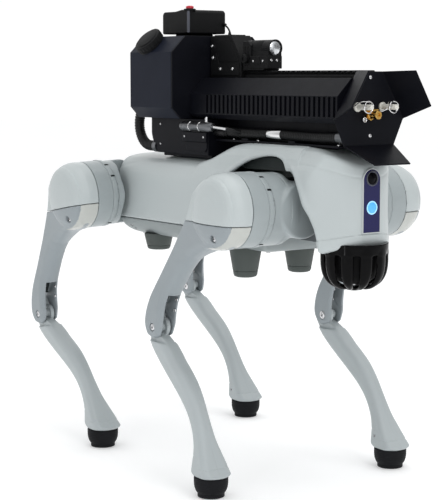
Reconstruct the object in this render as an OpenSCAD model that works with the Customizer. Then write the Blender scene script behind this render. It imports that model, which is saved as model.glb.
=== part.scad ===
// Four-legged walking robot carrying a closed display payload on its back.
// +X forward, +Y to its left, +Z up. The origin is on the ground under the
// middle of the standing robot.

/* [Trunk] */
// Height of the hip roll axes above the ground
hip_h = 366.7; // [360:0.1:375]
// Distance between front and rear hip pitch axes
hip_span = 370; // [360:1:380]
// Distance between left and right hip roll axes
roll_span = 89; // [86:1:92]
// Half width of the trunk sides
trunk_hw = 70; // [66:1:71]
// Wall of the trunk and head covers
cover_t = 3; // [2:0.5:3.5]
// Middle of the trunk ahead of the origin
trunk_x = -9; // [-20:1:10]
// Middle of the trunk to the left of the origin
trunk_y = -11; // [-20:1:10]

/* [Legs] */
// Thigh, hip pitch axis to knee axis
thigh_l = 216; // [210:1:222]
// Calf, knee axis to foot centre
calf_l = 216; // [210:1:222]
// Hip roll axis to the middle plane of the leg
leg_off = 91.5; // [90:0.5:94]
// Radius of the round hip and thigh motor housings
can_r = 48; // [46:0.5:48]
// Radius of the rubber foot
foot_r = 22; // [20:0.5:23]
// Gap between the two cheeks of the knee fork
fork_gap = 17; // [16:0.5:18]
// Crank and knee lever radius
lever_r = 23; // [20:0.5:23]
// Running clearance on pins and shafts
fit = 0.05; // [0.03:0.01:0.09]

/* [Stance] */
// Roll of each leg: front right, front left, rear right, rear left
roll = [-0.6, 1.5, 2.8, 4.4]; // [-8:0.1:8]
// Thigh swing of each leg, knee to the rear
swing = [40.5, 36.5, 30.3, 33.8]; // [25:0.5:45]

/* [Payload] */
// Half width of the reservoir housing
tank_hw = 79; // [70:1:80]
// Height of the reservoir housing above the roll axes
tank_top = 222; // [215:1:225]
// Front face of the ribbed shroud ahead of the trunk's middle
shroud_end = 299; // [290:1:299]
// Number of ribs along the shroud
ribs = 29; // [10:1:29]

/* [Hidden] */
$fn = 64;
GREY = [0.70, 0.72, 0.73];
LGREY = [0.80, 0.80, 0.79];
BLACK = [0.06, 0.06, 0.08];
STEEL = [0.75, 0.75, 0.76];
hx = hip_span / 2;
hy = roll_span / 2;
// leg i: 0 front right, 1 front left, 2 rear right, 3 rear left
function sx(i) = i < 2 ? 1 : -1;
function sy(i) = i % 2 == 0 ? -1 : 1;
// vertical reach that puts the bottom of the foot on the ground
function reach(i) = (hip_h - foot_r + leg_off * sy(i) * sin(roll[i])) / cos(roll[i]);
// knee bend that gives that reach
function bend(i) = -acos(reach(i) / thigh_l - cos(swing[i])) - swing[i];
// the crank points straight back when the knee is bent by this angle
mid_bend = -102;
fg = fork_gap / 2;

module body() translate([trunk_x, trunk_y, hip_h]) children();
module at_hip(i) body() translate([sx(i) * hx, sy(i) * hy, 0]) rotate([roll[i], 0, 0]) children();
module side(i) { if (sy(i) < 0) mirror([0, 1, 0]) children(); else children(); }
module at_thigh(i) at_hip(i) translate([0, sy(i) * leg_off, 0]) rotate([0, swing[i], 0]) side(i) children();
module at_knee(i) at_hip(i) translate([0, sy(i) * leg_off, 0]) rotate([0, swing[i], 0])
    translate([0, 0, -thigh_l]) rotate([0, bend(i), 0]) side(i) children();
module along_x(x0, x1) translate([x0, 0, 0]) rotate([90, 0, 90]) linear_extrude(x1 - x0) children();
module along_y(y0, y1) translate([0, y1, 0]) rotate([90, 0, 0]) linear_extrude(y1 - y0) children();
module cyl_x(r, x0, x1, y = 0, z = 0) translate([x0, y, z]) rotate([0, 90, 0]) cylinder(r = r, h = x1 - x0);
module cyl_y(r, y0, y1, x = 0, z = 0) translate([x, y0, z]) rotate([-90, 0, 0]) cylinder(r = r, h = y1 - y0);
module box(x0, x1, y0, y1, z0, z1) translate([x0, y0, z0]) cube([x1 - x0, y1 - y0, z1 - z0]);
module both() { children(); mirror([0, 1, 0]) children(); }

// ---- trunk sections, y and z ----
module trunk_section(o = 0) polygon([[-trunk_hw + 1 + o, -36], [-trunk_hw + o, 0], [-69 + o, 22], [-65 + o, 37 - o / 2],
    [-53 + o / 2, 50 - o], [-22, 55 - o], [22, 55 - o], [53 - o / 2, 50 - o], [65 - o, 37 - o / 2], [69 - o, 22],
    [trunk_hw - o, 0], [trunk_hw - 1 - o, -36]]);
module belly_section(o = 0) polygon([[-trunk_hw + 1 + o, -36], [-67 + o, -46], [-57 + o / 2, -57 + o], [-48, -60 + o],
    [48, -60 + o], [57 - o / 2, -57 + o], [67 - o, -46], [trunk_hw - 1 - o, -36]]);
module hood_section(o = 0) polygon([[-61 + o, 45], [-61 + o, 58], [-56 + o, 66 - o / 2], [-42 + o / 2, 74 - o], [-15, 78 - o], [15, 78 - o],
    [42 - o / 2, 74 - o], [56 - o, 66 - o / 2], [61 - o, 58], [61 - o, 45]]);
module hood_profile(o = 0) polygon([[31, 40], [31, 56 - o], [48, 60 - o], [64, 65.5 - o], [80, 72 - o], [98, 77 - o], [112, 78 - o], [190, 78 - o],
    [235, 75 - o], [235, 30]]);
module head_plan(o = 0) polygon([[236, -60 + o], [250, -67 + o], [272, -56 + o], [293, -38 + o], [306 - o, -20 + o],
    [306 - o, 20 - o], [293, 38 - o], [272, 56 - o], [250, 67 - o], [236, 60 - o]]);
module head_profile(o = 0) polygon([[236, 75 - o], [254, 73 - o], [280, 68 - o], [300, 61 - o], [306 - o, 56 - o], [306 - o, -34], [302, -47 + o],
    [262, -47 + o], [250, -20], [243, 15], [236, 50]]);

module chassis_frame() color(STEEL) body() {
    difference() {
        union() {
            for (s = [-1, 1]) box(s > 0 ? 165 : -170, s > 0 ? 170 : -165, -61, 61, -44, 30);
            box(-165, 165, -56, 56, -50, -44);
            // central spines that carry the head and the tail plate
            box(170, 262, -6, 6, -44, 42);
            box(-228, -170, -6, 6, -44, 42);
        }
        for (y = [-hy, hy]) cyl_x(8 + fit, -171, 171, y, 0);
        for (x = [-228, 170]) cyl_y(12, -7, 7, x + 30, 0);
    }
}
module hip_roll_motors() color(STEEL) body() for (s = [-1, 1], y = [-hy, hy]) {
    cyl_x(22, s > 0 ? 118 : -165, s > 0 ? 165 : -118, y, 0);
    cyl_x(8, s > 0 ? 165 : -212, s > 0 ? 212 : -165, y, 0);
}
module top_shell() color(GREY) body() difference() {
    union() {
        along_x(-177, 177) trunk_section();
        // tail deck
        box(-228, -177, -11, 11, 42.05, 45);
        box(-180, -177, -11, 11, 42.05, 54.5);
        // hood that rises over the front hips
        intersection() { along_x(20, 235) hood_section(); along_y(-70, 70) hood_profile(); }
    }
    difference() {
        union() {
            along_x(-178, 178) trunk_section(cover_t);
            intersection() { along_x(40, 236) hood_section(cover_t); along_y(-70, 70) hood_profile(cover_t); }
        }
        box(-300, -177, -80, 80, -80, 80);
    }
    // open hip bays and the arch over each front hip
    box(177, 240, -80, 80, -80, 42);
    for (y = [-1, 1]) {
        cyl_x(51.5, 177, 240, y * hy, 0);
        along_y(y > 0 ? 40 : -90, y > 0 ? 90 : -40) polygon([[96, 42], [118, 51], [140, 60.5], [160, 65], [185, 67], [200, 65], [208, 60], [212, 50], [214, 30], [96, 30]]);
    }
    // bottom edge
    box(-240, 240, -90, 90, -70, -36);
}
module belly_shell() color(GREY) body() difference() {
    along_x(-177, 177) belly_section();
    along_x(-178, 178) belly_section(cover_t);
}
module belly_pads() color([0.36, 0.39, 0.38]) body() for (y = [-1, 1]) {
    translate([107, y * 45.5, -97]) cylinder(r1 = 15.5, r2 = 21.5, h = 37);
    translate([-104, y * 45.5, -80]) cylinder(r1 = 15.5, r2 = 20.5, h = 20);
}
module battery_pack() color([0.2, 0.2, 0.22]) body() difference() {
    box(-92, 92, -48, 48, -43.5, 6);
    for (y = [-48, 42]) box(-60, 60, y - 1, y + 7, -30, -8);
}
module control_board() color([0.1, 0.35, 0.2]) body() {
    box(-90, 90, -50, 50, 14, 16);
    for (x = [-60, -10, 40]) box(x, x + 34, -22, 22, 16, 22);
    for (x = [-84, 80], y = [-44, 40]) box(x, x + 4, y, y + 4, 6, 14);
}
module head_shell() color(GREY) body() difference() {
    intersection() {
        along_y(-80, 80) head_profile();
        translate([0, 0, -60]) linear_extrude(160) head_plan();
        along_x(200, 320) polygon([[-70, -47], [-70, 40], [-61, 58], [-42, 74], [-15, 78], [15, 78], [42, 74], [61, 58], [70, 40], [70, -47]]);
    }
    intersection() {
        translate([-0.01, 0, 0]) along_y(-80, 80) head_profile(cover_t);
        translate([0, 0, -60]) linear_extrude(160) head_plan(cover_t);
        along_x(200, 320) polygon([[-66, -44], [-66, 40], [-57, 56], [-40, 71], [-15, 75], [15, 75], [40, 71], [57, 56], [66, 40], [66, -44]]);
        box(230, 303, -80, 80, -44, 80);
    }
    // seat of the face window
    box(304, 310, -13, 13, -23.5, 41);
    cyl_x(13, 304, 310, 0, 41);
    // notch for the spine
    box(230, 262.05, -6.05, 6.05, -60, 42.05);
}
module face_window() color([0.10, 0.11, 0.30]) body() difference() {
    union() { box(304, 307, -13, 13, -23.5, 41); cyl_x(13, 304, 307, 0, 41); }
    cyl_x(9, 306, 308, 0, 43);
    cyl_x(8.5, 306, 308, 0, 7);
}
module camera_lens() color([0.02, 0.02, 0.03]) body() { cyl_x(9, 306, 308, 0, 43); cyl_x(6.5, 308, 309, 0, 43); }
module head_lamp() color([0.35, 0.75, 1]) body() cyl_x(8.5, 306, 308.5, 0, 7);
module lidar_dome() color([0.03, 0.03, 0.04]) body() translate([275, 0, 0]) rotate_extrude()
    polygon([[0, -47], [33, -47], [33, -68], [29, -80], [21, -88], [0, -91]]);
module lidar_guard() color([0.03, 0.03, 0.04]) body() translate([275, 0, 0]) difference() {
    rotate_extrude() polygon([[34.5, -47], [41, -47], [41, -68], [38, -81], [31, -91], [20, -97], [0, -98.6],
        [0, -93], [18, -91.5], [26, -87.5], [32, -79], [34.5, -68]]);
    for (a = [0:30:330]) rotate([0, 0, a + 15]) translate([14, -4.2, -93]) cube([40, 8.4, 38]);
}
module body_screws() color(STEEL) body() {
    for (x = [-150, -60, 60, 150], y = [-40, 40]) translate([x, y, -61.2]) difference() {
        cylinder(r = 3, h = 1.2);
        translate([0, 0, -1]) cylinder(r = 1.3, h = 1.8, $fn = 6);
    }
}

// ---- payload ----
module payload_base() color(BLACK) body() difference() {
    union() {
        box(30, 290, -40, 40, 80, 83);
        box(30, 60, -24, 24, 83, 109.9);
        box(250, 280, -24, 24, 83, 109.9);
        // side plates between the two posts
        for (y = [-24, 22]) box(60, 250, y, y + 2, 83, 109.9);
        for (x = [120, 180]) box(x, x + 6, -12, 12, 78.1, 80);
    }
    for (x = [90, 140, 190]) box(x, x + 30, -18, 18, 79, 84);
}
module payload_block() color(BLACK) body() difference() {
    along_x(-112, 30) polygon([[-52, 60], [-43, 55.2], [43, 55.2], [52, 60], [52, 109], [-52, 109]]);
    box(-108, 26, -48, 48, 62, 105);
    for (y = [-1, 1]) cyl_x(7 + fit, 25, 31, y * 36, 93);
}
module tank_section(o = 0) polygon([[-tank_hw + o, 124], [-tank_hw + o, tank_top - 22], [-tank_hw + 22 + o / 2, tank_top - o], [tank_hw - 22 - o / 2, tank_top - o],
    [tank_hw - o, tank_top - 22], [tank_hw - o, 124], [65 - o / 2, 109 + o], [-65 + o / 2, 109 + o]]);
module reservoir_shell() color(BLACK) body() difference() {
    along_x(-125, -17) tank_section();
    along_x(-122.5, -19.5) tank_section(2.5);
}
module reservoir_cap() color([0.12, 0.13, 0.14]) body() translate([-85, -tank_hw + 11, tank_top - 11]) rotate([45, 0, 0]) difference() {
    union() { cylinder(r = 21, h = 11); cylinder(r = 17, h = 13); }
    for (a = [0:30:330]) rotate([0, 0, a]) translate([21.6, 0, -1]) cylinder(r = 1.4, h = 13, $fn = 24);
    translate([0, 0, -1]) cylinder(r = 12, h = 10);
}
module shroud_section(o = 0) polygon([[-44 + o, 110 + o], [-50 + o, 117], [-50 + o, 143], [-28 + o / 2, 165 - o], [28 - o / 2, 165 - o],
    [50 - o, 143], [50 - o, 117], [44 - o, 110 + o]]);
module barrel_shroud() color(BLACK) body() {
    difference() {
        along_x(-17, shroud_end) shroud_section();
        along_x(-14, shroud_end - 3) shroud_section(3.5);
        // vertical grooves down each flank
        for (k = [0:ribs - 1], s = [-1, 1]) box(22.4 + k * 9.6, 26.8 + k * 9.6, s > 0 ? 48.4 : -51, s > 0 ? 51 : -48.4, 118, 142);
    }
    difference() {
        along_y(-16, 16) polygon([[-15, 165], [56, 165], [56, 190], [33, 222], [-15, 222]]);
        along_y(-13, 13) polygon([[-12, 164], [53, 164], [53, 189], [31, 219], [-12, 219]]);
    }
}
module top_rail() color([0.05, 0.05, 0.06]) body() difference() {
    along_x(56, shroud_end) polygon([[-10.6, 165], [-10.6, 168], [-8, 170], [-10.6, 172.5], [-8.5, 174.5], [8.5, 174.5], [10.6, 172.5], [8, 170], [10.6, 168], [10.6, 165]]);
    for (k = [0:15]) box(128 + k * 10.4, 133.2 + k * 10.4, -12, 12, 171.5, 176);
}
module rail_lamp() color([0.05, 0.05, 0.06]) body() difference() {
    union() {
        box(56.2, 74, -14, 14, 174.5, 214);
        cyl_x(11, 57, 112, 0, 204);
        box(72, 112, -12, 12, 178, 200);
        box(72, 104, -13, 13, 174.5, 178);
        cyl_y(6, 14, 19, 65, 190);
    }
    box(59, 70, -11, 11, 178, 211);
    cyl_x(9, 106, 113, 0, 204);
}
module power_pod() color([0.05, 0.05, 0.06]) body() difference() {
    union() { box(-113, -47, -32, 32, 226, 259); box(-98, -60, -20, 20, 222, 226); }
    box(-110, -60, -29, 29, 229, 256);
    translate([-52, -26, 252]) cylinder(r = 4.5 + fit, h = 10);
}
module pod_button() color([0.8, 0.05, 0.08]) body() translate([-52, -26, 0]) {
    translate([0, 0, 254]) cylinder(r = 4.5, h = 9);
    translate([0, 0, 260.9]) cylinder(r = 5.6, h = 3.2);
}
// folded sheet between corner points, sheet thickness t
module sheet(pts, t = 2) hull() for (p = pts) translate([p[0], p[1], p[2]]) cube([t, t, t], center = true);
module front_shroud() color(BLACK) body() union() {
    along_x(299, 301) polygon([[-20, 173], [20, 173], [55, 115], [40, 83], [-40, 83], [-55, 115]]);
    // folded wings and lower lip
    for (s = [-1, 1]) sheet([[300, 19 * s, 172], [300, 53 * s, 116], [342, 63 * s, 131], [342, 37 * s, 174]]);
    sheet([[300, -39, 84], [300, 39, 84], [344, 28, 62], [344, -28, 62]]);
}
module tip_posts() color([0.92, 0.91, 0.87]) body() {
    for (y = [-20, 20]) {
        cyl_x(5.6, 301, 304, y, 130);
        cyl_x(3.4, 304, 329, y, 130);
        translate([322, y, 130]) rotate([0, 90, 0]) rotate_extrude() translate([7, 0]) circle(r = 0.9, $fn = 16);
        cyl_y(0.9, y - 7.2, y + 7.2, 322, 130);
    }
    cyl_x(5, 301, 318, 0, 120.5);
    box(301, 306, -10, 10, 123, 127);
}
module hoses() color([0.07, 0.07, 0.08]) body() {
    for (y = [-1, 1]) {
        cyl_x(7, 26.1, 42, y * 36, 93);
        cyl_x(6.5, 42, 286, y * 36, 93);
        cyl_x(7.2, 147, 177, y * 36, 93);
        cyl_x(7, 286, 298.9, y * 36, 93);
    }
    translate([-125, -45, 98]) rotate([90, 90, 0]) rotate_extrude(angle = 180) translate([-30, 0]) circle(r = 7.5, $fn = 32);
    cyl_x(7.5, -125, -112, -45, 68);
}
module payload_screws() color(STEEL) body() {
    for (z = [95, 166]) cyl_x(2.4, 301, 302.6, 0, z);
    for (p = [[-7, 208], [-3, 193], [8, 177], [37, 177]]) cyl_y(2.4, -17.6, -16, p[0], p[1]);
    for (y = [-7, 3]) cyl_x(1.6, 112, 113, y, 188);
}
module pod_lead() color(BLACK) body() translate([-47, 12, 222]) rotate([90, 0, 0]) rotate_extrude(angle = 90) translate([25, 0]) circle(r = 1.25, $fn = 16);

// ---- legs ----
module hip_link(i) color(GREY) at_hip(i) side(i) {
    s = sx(i);
    difference() {
        union() {
            // pitch motor housing
            cyl_y(can_r, 50, 75);
            translate([0, 46, 0]) rotate([-90, 0, 0]) cylinder(r1 = can_r - 4, r2 = can_r, h = 4);
            // neck round the roll shaft
            intersection() {
                union() { cyl_y(can_r - 2, 4, 46); cyl_x(36, -60, 60); }
                union() { cyl_x(50, s > 0 ? -5 : -46, s > 0 ? 46 : 5); }
                box(s > 0 ? -5 : -46, s > 0 ? 46 : 5, -35, 80, -60, 60);
            }
        }
        cyl_x(8 + fit, s > 0 ? -6 : -27.5, s > 0 ? 27.5 : 6);
        // groove round the housing
        difference() { cyl_y(can_r + 1, 64, 66.5); cyl_y(can_r - 2, 63, 67.5); }
        // seat of the pitch bearing
        cyl_y(14, 66, 76);
    }
}
module arm_outline() polygon([[-44, -19], [-39, -29], [-35.5, -90], [-34.5, -124], [-34, -159], [-32.5, -193], [-25.5, -216], [-14, -228], [1, -232],
    [12, -227], [16, -216], [11, -203], [3, -190], [-3, -176], [-7, -162], [-7, -121], [-4, -101], [-0.5, -83], [7, -70], [21, -48], [40, -26], [30, 0], [-30, 0]]);
module fork_outline() polygon([[-34.2, -150], [-34, -159], [-32.5, -193], [-25.5, -216], [-14, -228], [1, -232], [12, -227], [16, -216], [11, -203],
    [3, -190], [-3, -176], [-7, -162], [-7, -150]]);
module thigh_frame(i) color(GREY) at_thigh(i) difference() {
    union() {
        cyl_y(can_r, -16, 14);
        along_y(-12, 12) arm_outline();
        along_y(-13.5, 13.5) fork_outline();
        // rounded outer end
        intersection() { translate([0, -30, 0]) sphere(r = 66.6); cyl_y(can_r - 2, 14, 24); }
        // bearing spigot into the hip link
        cyl_y(13.9, -24, -16);
    }
    // upper half is the separate cover
    box(-60, 60, -15, 40, -10, 60);
    // crank chamber and rod channel
    cyl_y(lever_r + 6.5, -fg, fg);
    box(-31, -9, -fg, fg, -200, 0);
    box(-60, 60, -fg, fg, -250, -196);
    along_y(-fg, fg) polygon([[-9.2, -166], [-20, -166], [-20, -200], [40, -200], [40, -166]]);
    // knee pin, its head seats and the screw recess
    cyl_y(4 + fit, -20, 20, 0, -thigh_l);
    cyl_y(6.6, 12, 20, 0, -thigh_l);
    cyl_y(6.6, -20, -12, 0, -thigh_l);
    cyl_y(4.5, 14, 40, -4, -33);
}
module thigh_cover(i) color(GREY) at_thigh(i) difference() {
    union() {
        cyl_y(can_r, -15, 14);
        intersection() { translate([0, -30, 0]) sphere(r = 66.6); cyl_y(can_r - 2, 14, 24); }
    }
    box(-60, 60, -40, 40, -60, -10);
    cyl_y(can_r - 5, -16, 11);
}
module leg_pins(i) color(STEEL) at_thigh(i) {
    cyl_y(4, -12, 12, 0, -thigh_l);
    cyl_y(6.4, 12, 13.8, 0, -thigh_l);
    cyl_y(6.4, -13.8, -12, 0, -thigh_l);
    // axle of the crank
    cyl_y(5, -fg, 11);
    cyl_y(4.3, 14, 16, -4, -33);
}
module crank(i) color([0.3, 0.3, 0.32]) at_thigh(i) rotate([0, bend(i) - mid_bend, 0]) difference() {
    union() {
        cyl_y(12, -7.2, -1.4);
        cyl_y(4.5, -7.2, -1.4, -lever_r, 0);
        box(-lever_r, 0, -7.2, -1.4, -4.5, 4.5);
        cyl_y(2.2, -1.4, 4.2, -lever_r, 0);
    }
    cyl_y(5 + fit, -10, 10);
}
module push_rod(i) color([0.12, 0.12, 0.13]) at_thigh(i) translate([-lever_r * cos(bend(i) - mid_bend), 0, lever_r * sin(bend(i) - mid_bend)]) difference() {
    union() {
        cyl_y(4.5, -1, 4);
        cyl_y(4.5, -1, 4, 0, -thigh_l);
        box(-3, 3, -1, 4, -thigh_l, 0);
    }
    cyl_y(3, -3, 6);
    cyl_y(2.2 + fit, -3, 6, 0, -thigh_l);
}
// calf seen from the side: forward, up
module calf_side() polygon([[-21, 9], [-23, -5], [-23, -20], [-20, -35], [-11, -62], [-1, -92], [4.5, -115], [6.5, -135], [3.5, -157], [-3, -175], [-15, -193], [-20, -204], [-20.5, -208],
    [20.5, -208], [21, -196], [23, -174], [26, -157], [28.5, -135], [29.5, -115], [27, -92], [18, -62], [11, -35], [6, -22], [0, -15], [-14, 8]]);
// calf seen from the front: sideways, up
module calf_front() polygon([[-12, 20], [-12.6, -20], [-12.8, -62], [-12, -92], [-11, -120], [-10.6, -145], [-13, -170], [-17, -190], [-20.5, -208],
    [20.5, -208], [17, -190], [13, -170], [10.6, -145], [11, -120], [12, -92], [12.8, -62], [12.6, -20], [12, 20]]);
// side notches that the fork cheeks sweep through
module cheek_sweep() polygon([[-60, -3], [-30, -3], [-18.5, -10], [-8, -18.5], [9, -28.5], [22, -40], [60, -40], [60, 60], [-60, 60]]);
module calf(i) color(GREY) at_knee(i) difference() {
    union() {
        difference() {
            intersection() { along_y(-22, 22) calf_side(); along_x(-40, 40) calf_front(); }
            along_y(7.2, 30) cheek_sweep();
            along_y(-30, -7.2) cheek_sweep();
        }
        cyl_y(12, -7, -1.4);
        cyl_y(6, -1.5, 7);
        // lever above the knee
        rotate([0, -mid_bend, 0]) { box(-lever_r, 0, -6.9, -1.5, -4.4, 4.4); cyl_y(4.6, -6.9, -1.5, -lever_r, 0); cyl_y(2.2, -2, 4.6, -lever_r, 0); }
    }
    cyl_y(4 + fit, -30, 30);
}
module foot(i) color([0.05, 0.05, 0.06]) at_knee(i) translate([0, 0, -calf_l]) difference() {
    sphere(r = foot_r);
    // flat top face where the calf lands
    box(-40, 40, -40, 40, 8, 40);
}

chassis_frame();
hip_roll_motors();
top_shell();
belly_shell();
belly_pads();
battery_pack();
control_board();
head_shell();
face_window();
camera_lens();
head_lamp();
lidar_dome();
lidar_guard();
body_screws();
payload_base();
payload_block();
reservoir_shell();
reservoir_cap();
barrel_shroud();
top_rail();
rail_lamp();
power_pod();
pod_button();
front_shroud();
tip_posts();
hoses();
payload_screws();
pod_lead();
hip_link(0);  // hip_link_fr
thigh_frame(0);  // thigh_frame_fr
thigh_cover(0);  // thigh_cover_fr
leg_pins(0);  // leg_pins_fr
crank(0);  // crank_fr
push_rod(0);  // push_rod_fr
calf(0);  // calf_fr
foot(0);  // foot_fr
hip_link(1);  // hip_link_fl
thigh_frame(1);  // thigh_frame_fl
thigh_cover(1);  // thigh_cover_fl
leg_pins(1);  // leg_pins_fl
crank(1);  // crank_fl
push_rod(1);  // push_rod_fl
calf(1);  // calf_fl
foot(1);  // foot_fl
hip_link(2);  // hip_link_rr
thigh_frame(2);  // thigh_frame_rr
thigh_cover(2);  // thigh_cover_rr
leg_pins(2);  // leg_pins_rr
crank(2);  // crank_rr
push_rod(2);  // push_rod_rr
calf(2);  // calf_rr
foot(2);  // foot_rr
hip_link(3);  // hip_link_rl
thigh_frame(3);  // thigh_frame_rl
thigh_cover(3);  // thigh_cover_rl
leg_pins(3);  // leg_pins_rl
crank(3);  // crank_rl
push_rod(3);  // push_rod_rl
calf(3);  // calf_rl
foot(3);  // foot_rl
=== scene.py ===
"""Looks for the four-legged walking robot with its closed display payload."""
import bpy, bmesh, math
import numpy as np
from mathutils import Matrix, Vector


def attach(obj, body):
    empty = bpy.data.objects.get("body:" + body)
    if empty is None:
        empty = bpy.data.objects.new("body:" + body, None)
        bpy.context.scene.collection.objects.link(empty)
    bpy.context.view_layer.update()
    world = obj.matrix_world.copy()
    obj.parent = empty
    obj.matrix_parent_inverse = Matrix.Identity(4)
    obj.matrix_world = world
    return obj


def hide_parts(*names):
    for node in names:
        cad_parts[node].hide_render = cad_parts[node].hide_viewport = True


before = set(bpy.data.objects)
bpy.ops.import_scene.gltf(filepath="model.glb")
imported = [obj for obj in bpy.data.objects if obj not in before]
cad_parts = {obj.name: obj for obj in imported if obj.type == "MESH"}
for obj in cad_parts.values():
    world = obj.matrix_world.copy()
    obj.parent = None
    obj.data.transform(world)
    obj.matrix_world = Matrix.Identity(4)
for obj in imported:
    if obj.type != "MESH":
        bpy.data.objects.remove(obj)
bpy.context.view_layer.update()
HS = 1.0
scene = bpy.context.scene

# ------------------------------------------------------------------ camera, floor, light
cam_data = bpy.data.cameras.new("camera")
cam_data.lens = 106.05
cam_data.sensor_width = 36
cam = bpy.data.objects.new("camera", cam_data)
scene.collection.objects.link(cam)
az, el = math.radians(54.736), math.radians(6.778)
back = Vector((math.sin(az) * math.cos(el), -math.cos(az) * math.cos(el), math.sin(el)))
cam.location = (1.66052, -1.20101, 0.53542)
cam.rotation_euler = (-back).to_track_quat("-Z", "Y").to_euler()
cam_data.clip_start = 0.05
cam_data.clip_end = 100
scene.camera = cam
scene.view_settings.view_transform = "Standard"
scene.view_settings.look = "None"


def link(o):
    scene.collection.objects.link(o)
    return o


def area(name, loc, aim, size, power, colour=(1, 1, 1)):
    d = bpy.data.lights.new(name, "AREA")
    d.shape = "RECTANGLE"
    d.size, d.size_y = size
    d.energy = power
    d.color = colour
    o = link(bpy.data.objects.new(name, d))
    o.location = loc
    o.rotation_euler = (Vector(aim) - Vector(loc)).to_track_quat("-Z", "Y").to_euler()
    return o


area("key_top", (0.4, 0.2, 2.4), (0, 0, 0.3), (1.6, 1.6), 13)
area("key_front", (2.6, -0.2, 1.5), (0, 0, 0.3), (0.9, 1.2), 9)
area("strip_tall", (0.95, -2.35, 0.86), (0.2, 0, 0.3), (0.13, 1.6), 5.0, (0.97, 0.99, 1))
area("fill_back", (-2.2, 1.6, 1.4), (0, 0, 0.3), (1.6, 1.6), 3)
world = bpy.data.worlds.new("studio")
scene.world = world
world.use_nodes = True
wt = world.node_tree
bg = wt.nodes["Background"]
bg.inputs["Color"].default_value = (1.0, 1.0, 1.0, 1)
# white studio that is dimmer on the robot's right
w_tc = wt.nodes.new("ShaderNodeTexCoord")
w_dot = wt.nodes.new("ShaderNodeVectorMath")
w_dot.operation = "DOT_PRODUCT"
w_dot.inputs[1].default_value = (0.22, -0.93, -0.25)
wt.links.new(w_tc.outputs["Generated"], w_dot.inputs[0])
w_map = wt.nodes.new("ShaderNodeMapRange")
w_map.inputs["From Min"].default_value = 0.05
w_map.inputs["From Max"].default_value = 0.85
w_map.inputs["To Min"].default_value = 1.02
w_map.inputs["To Max"].default_value = 0.42
wt.links.new(w_dot.outputs["Value"], w_map.inputs["Value"])
# and in the corner ahead of its left side
w_dot2 = wt.nodes.new("ShaderNodeVectorMath")
w_dot2.operation = "DOT_PRODUCT"
w_dot2.inputs[1].default_value = (0.42, 0.90, -0.05)
wt.links.new(w_tc.outputs["Generated"], w_dot2.inputs[0])
w_map2 = wt.nodes.new("ShaderNodeMapRange")
w_map2.inputs["From Min"].default_value = 0.52
w_map2.inputs["From Max"].default_value = 0.92
w_map2.inputs["To Min"].default_value = 1.0
w_map2.inputs["To Max"].default_value = 0.30
wt.links.new(w_dot2.outputs["Value"], w_map2.inputs["Value"])
w_mul = wt.nodes.new("ShaderNodeMath")
w_mul.operation = "MULTIPLY"
wt.links.new(w_map.outputs["Result"], w_mul.inputs[0])
wt.links.new(w_map2.outputs["Result"], w_mul.inputs[1])
wt.links.new(w_mul.outputs["Value"], bg.inputs["Strength"])


# ------------------------------------------------------------------ materials
def srgb(r, g, b):
    f = lambda c: (c / 255 / 12.92) if c / 255 <= 0.04045 else ((c / 255 + 0.055) / 1.055) ** 2.4
    return (f(r), f(g), f(b))


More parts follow.
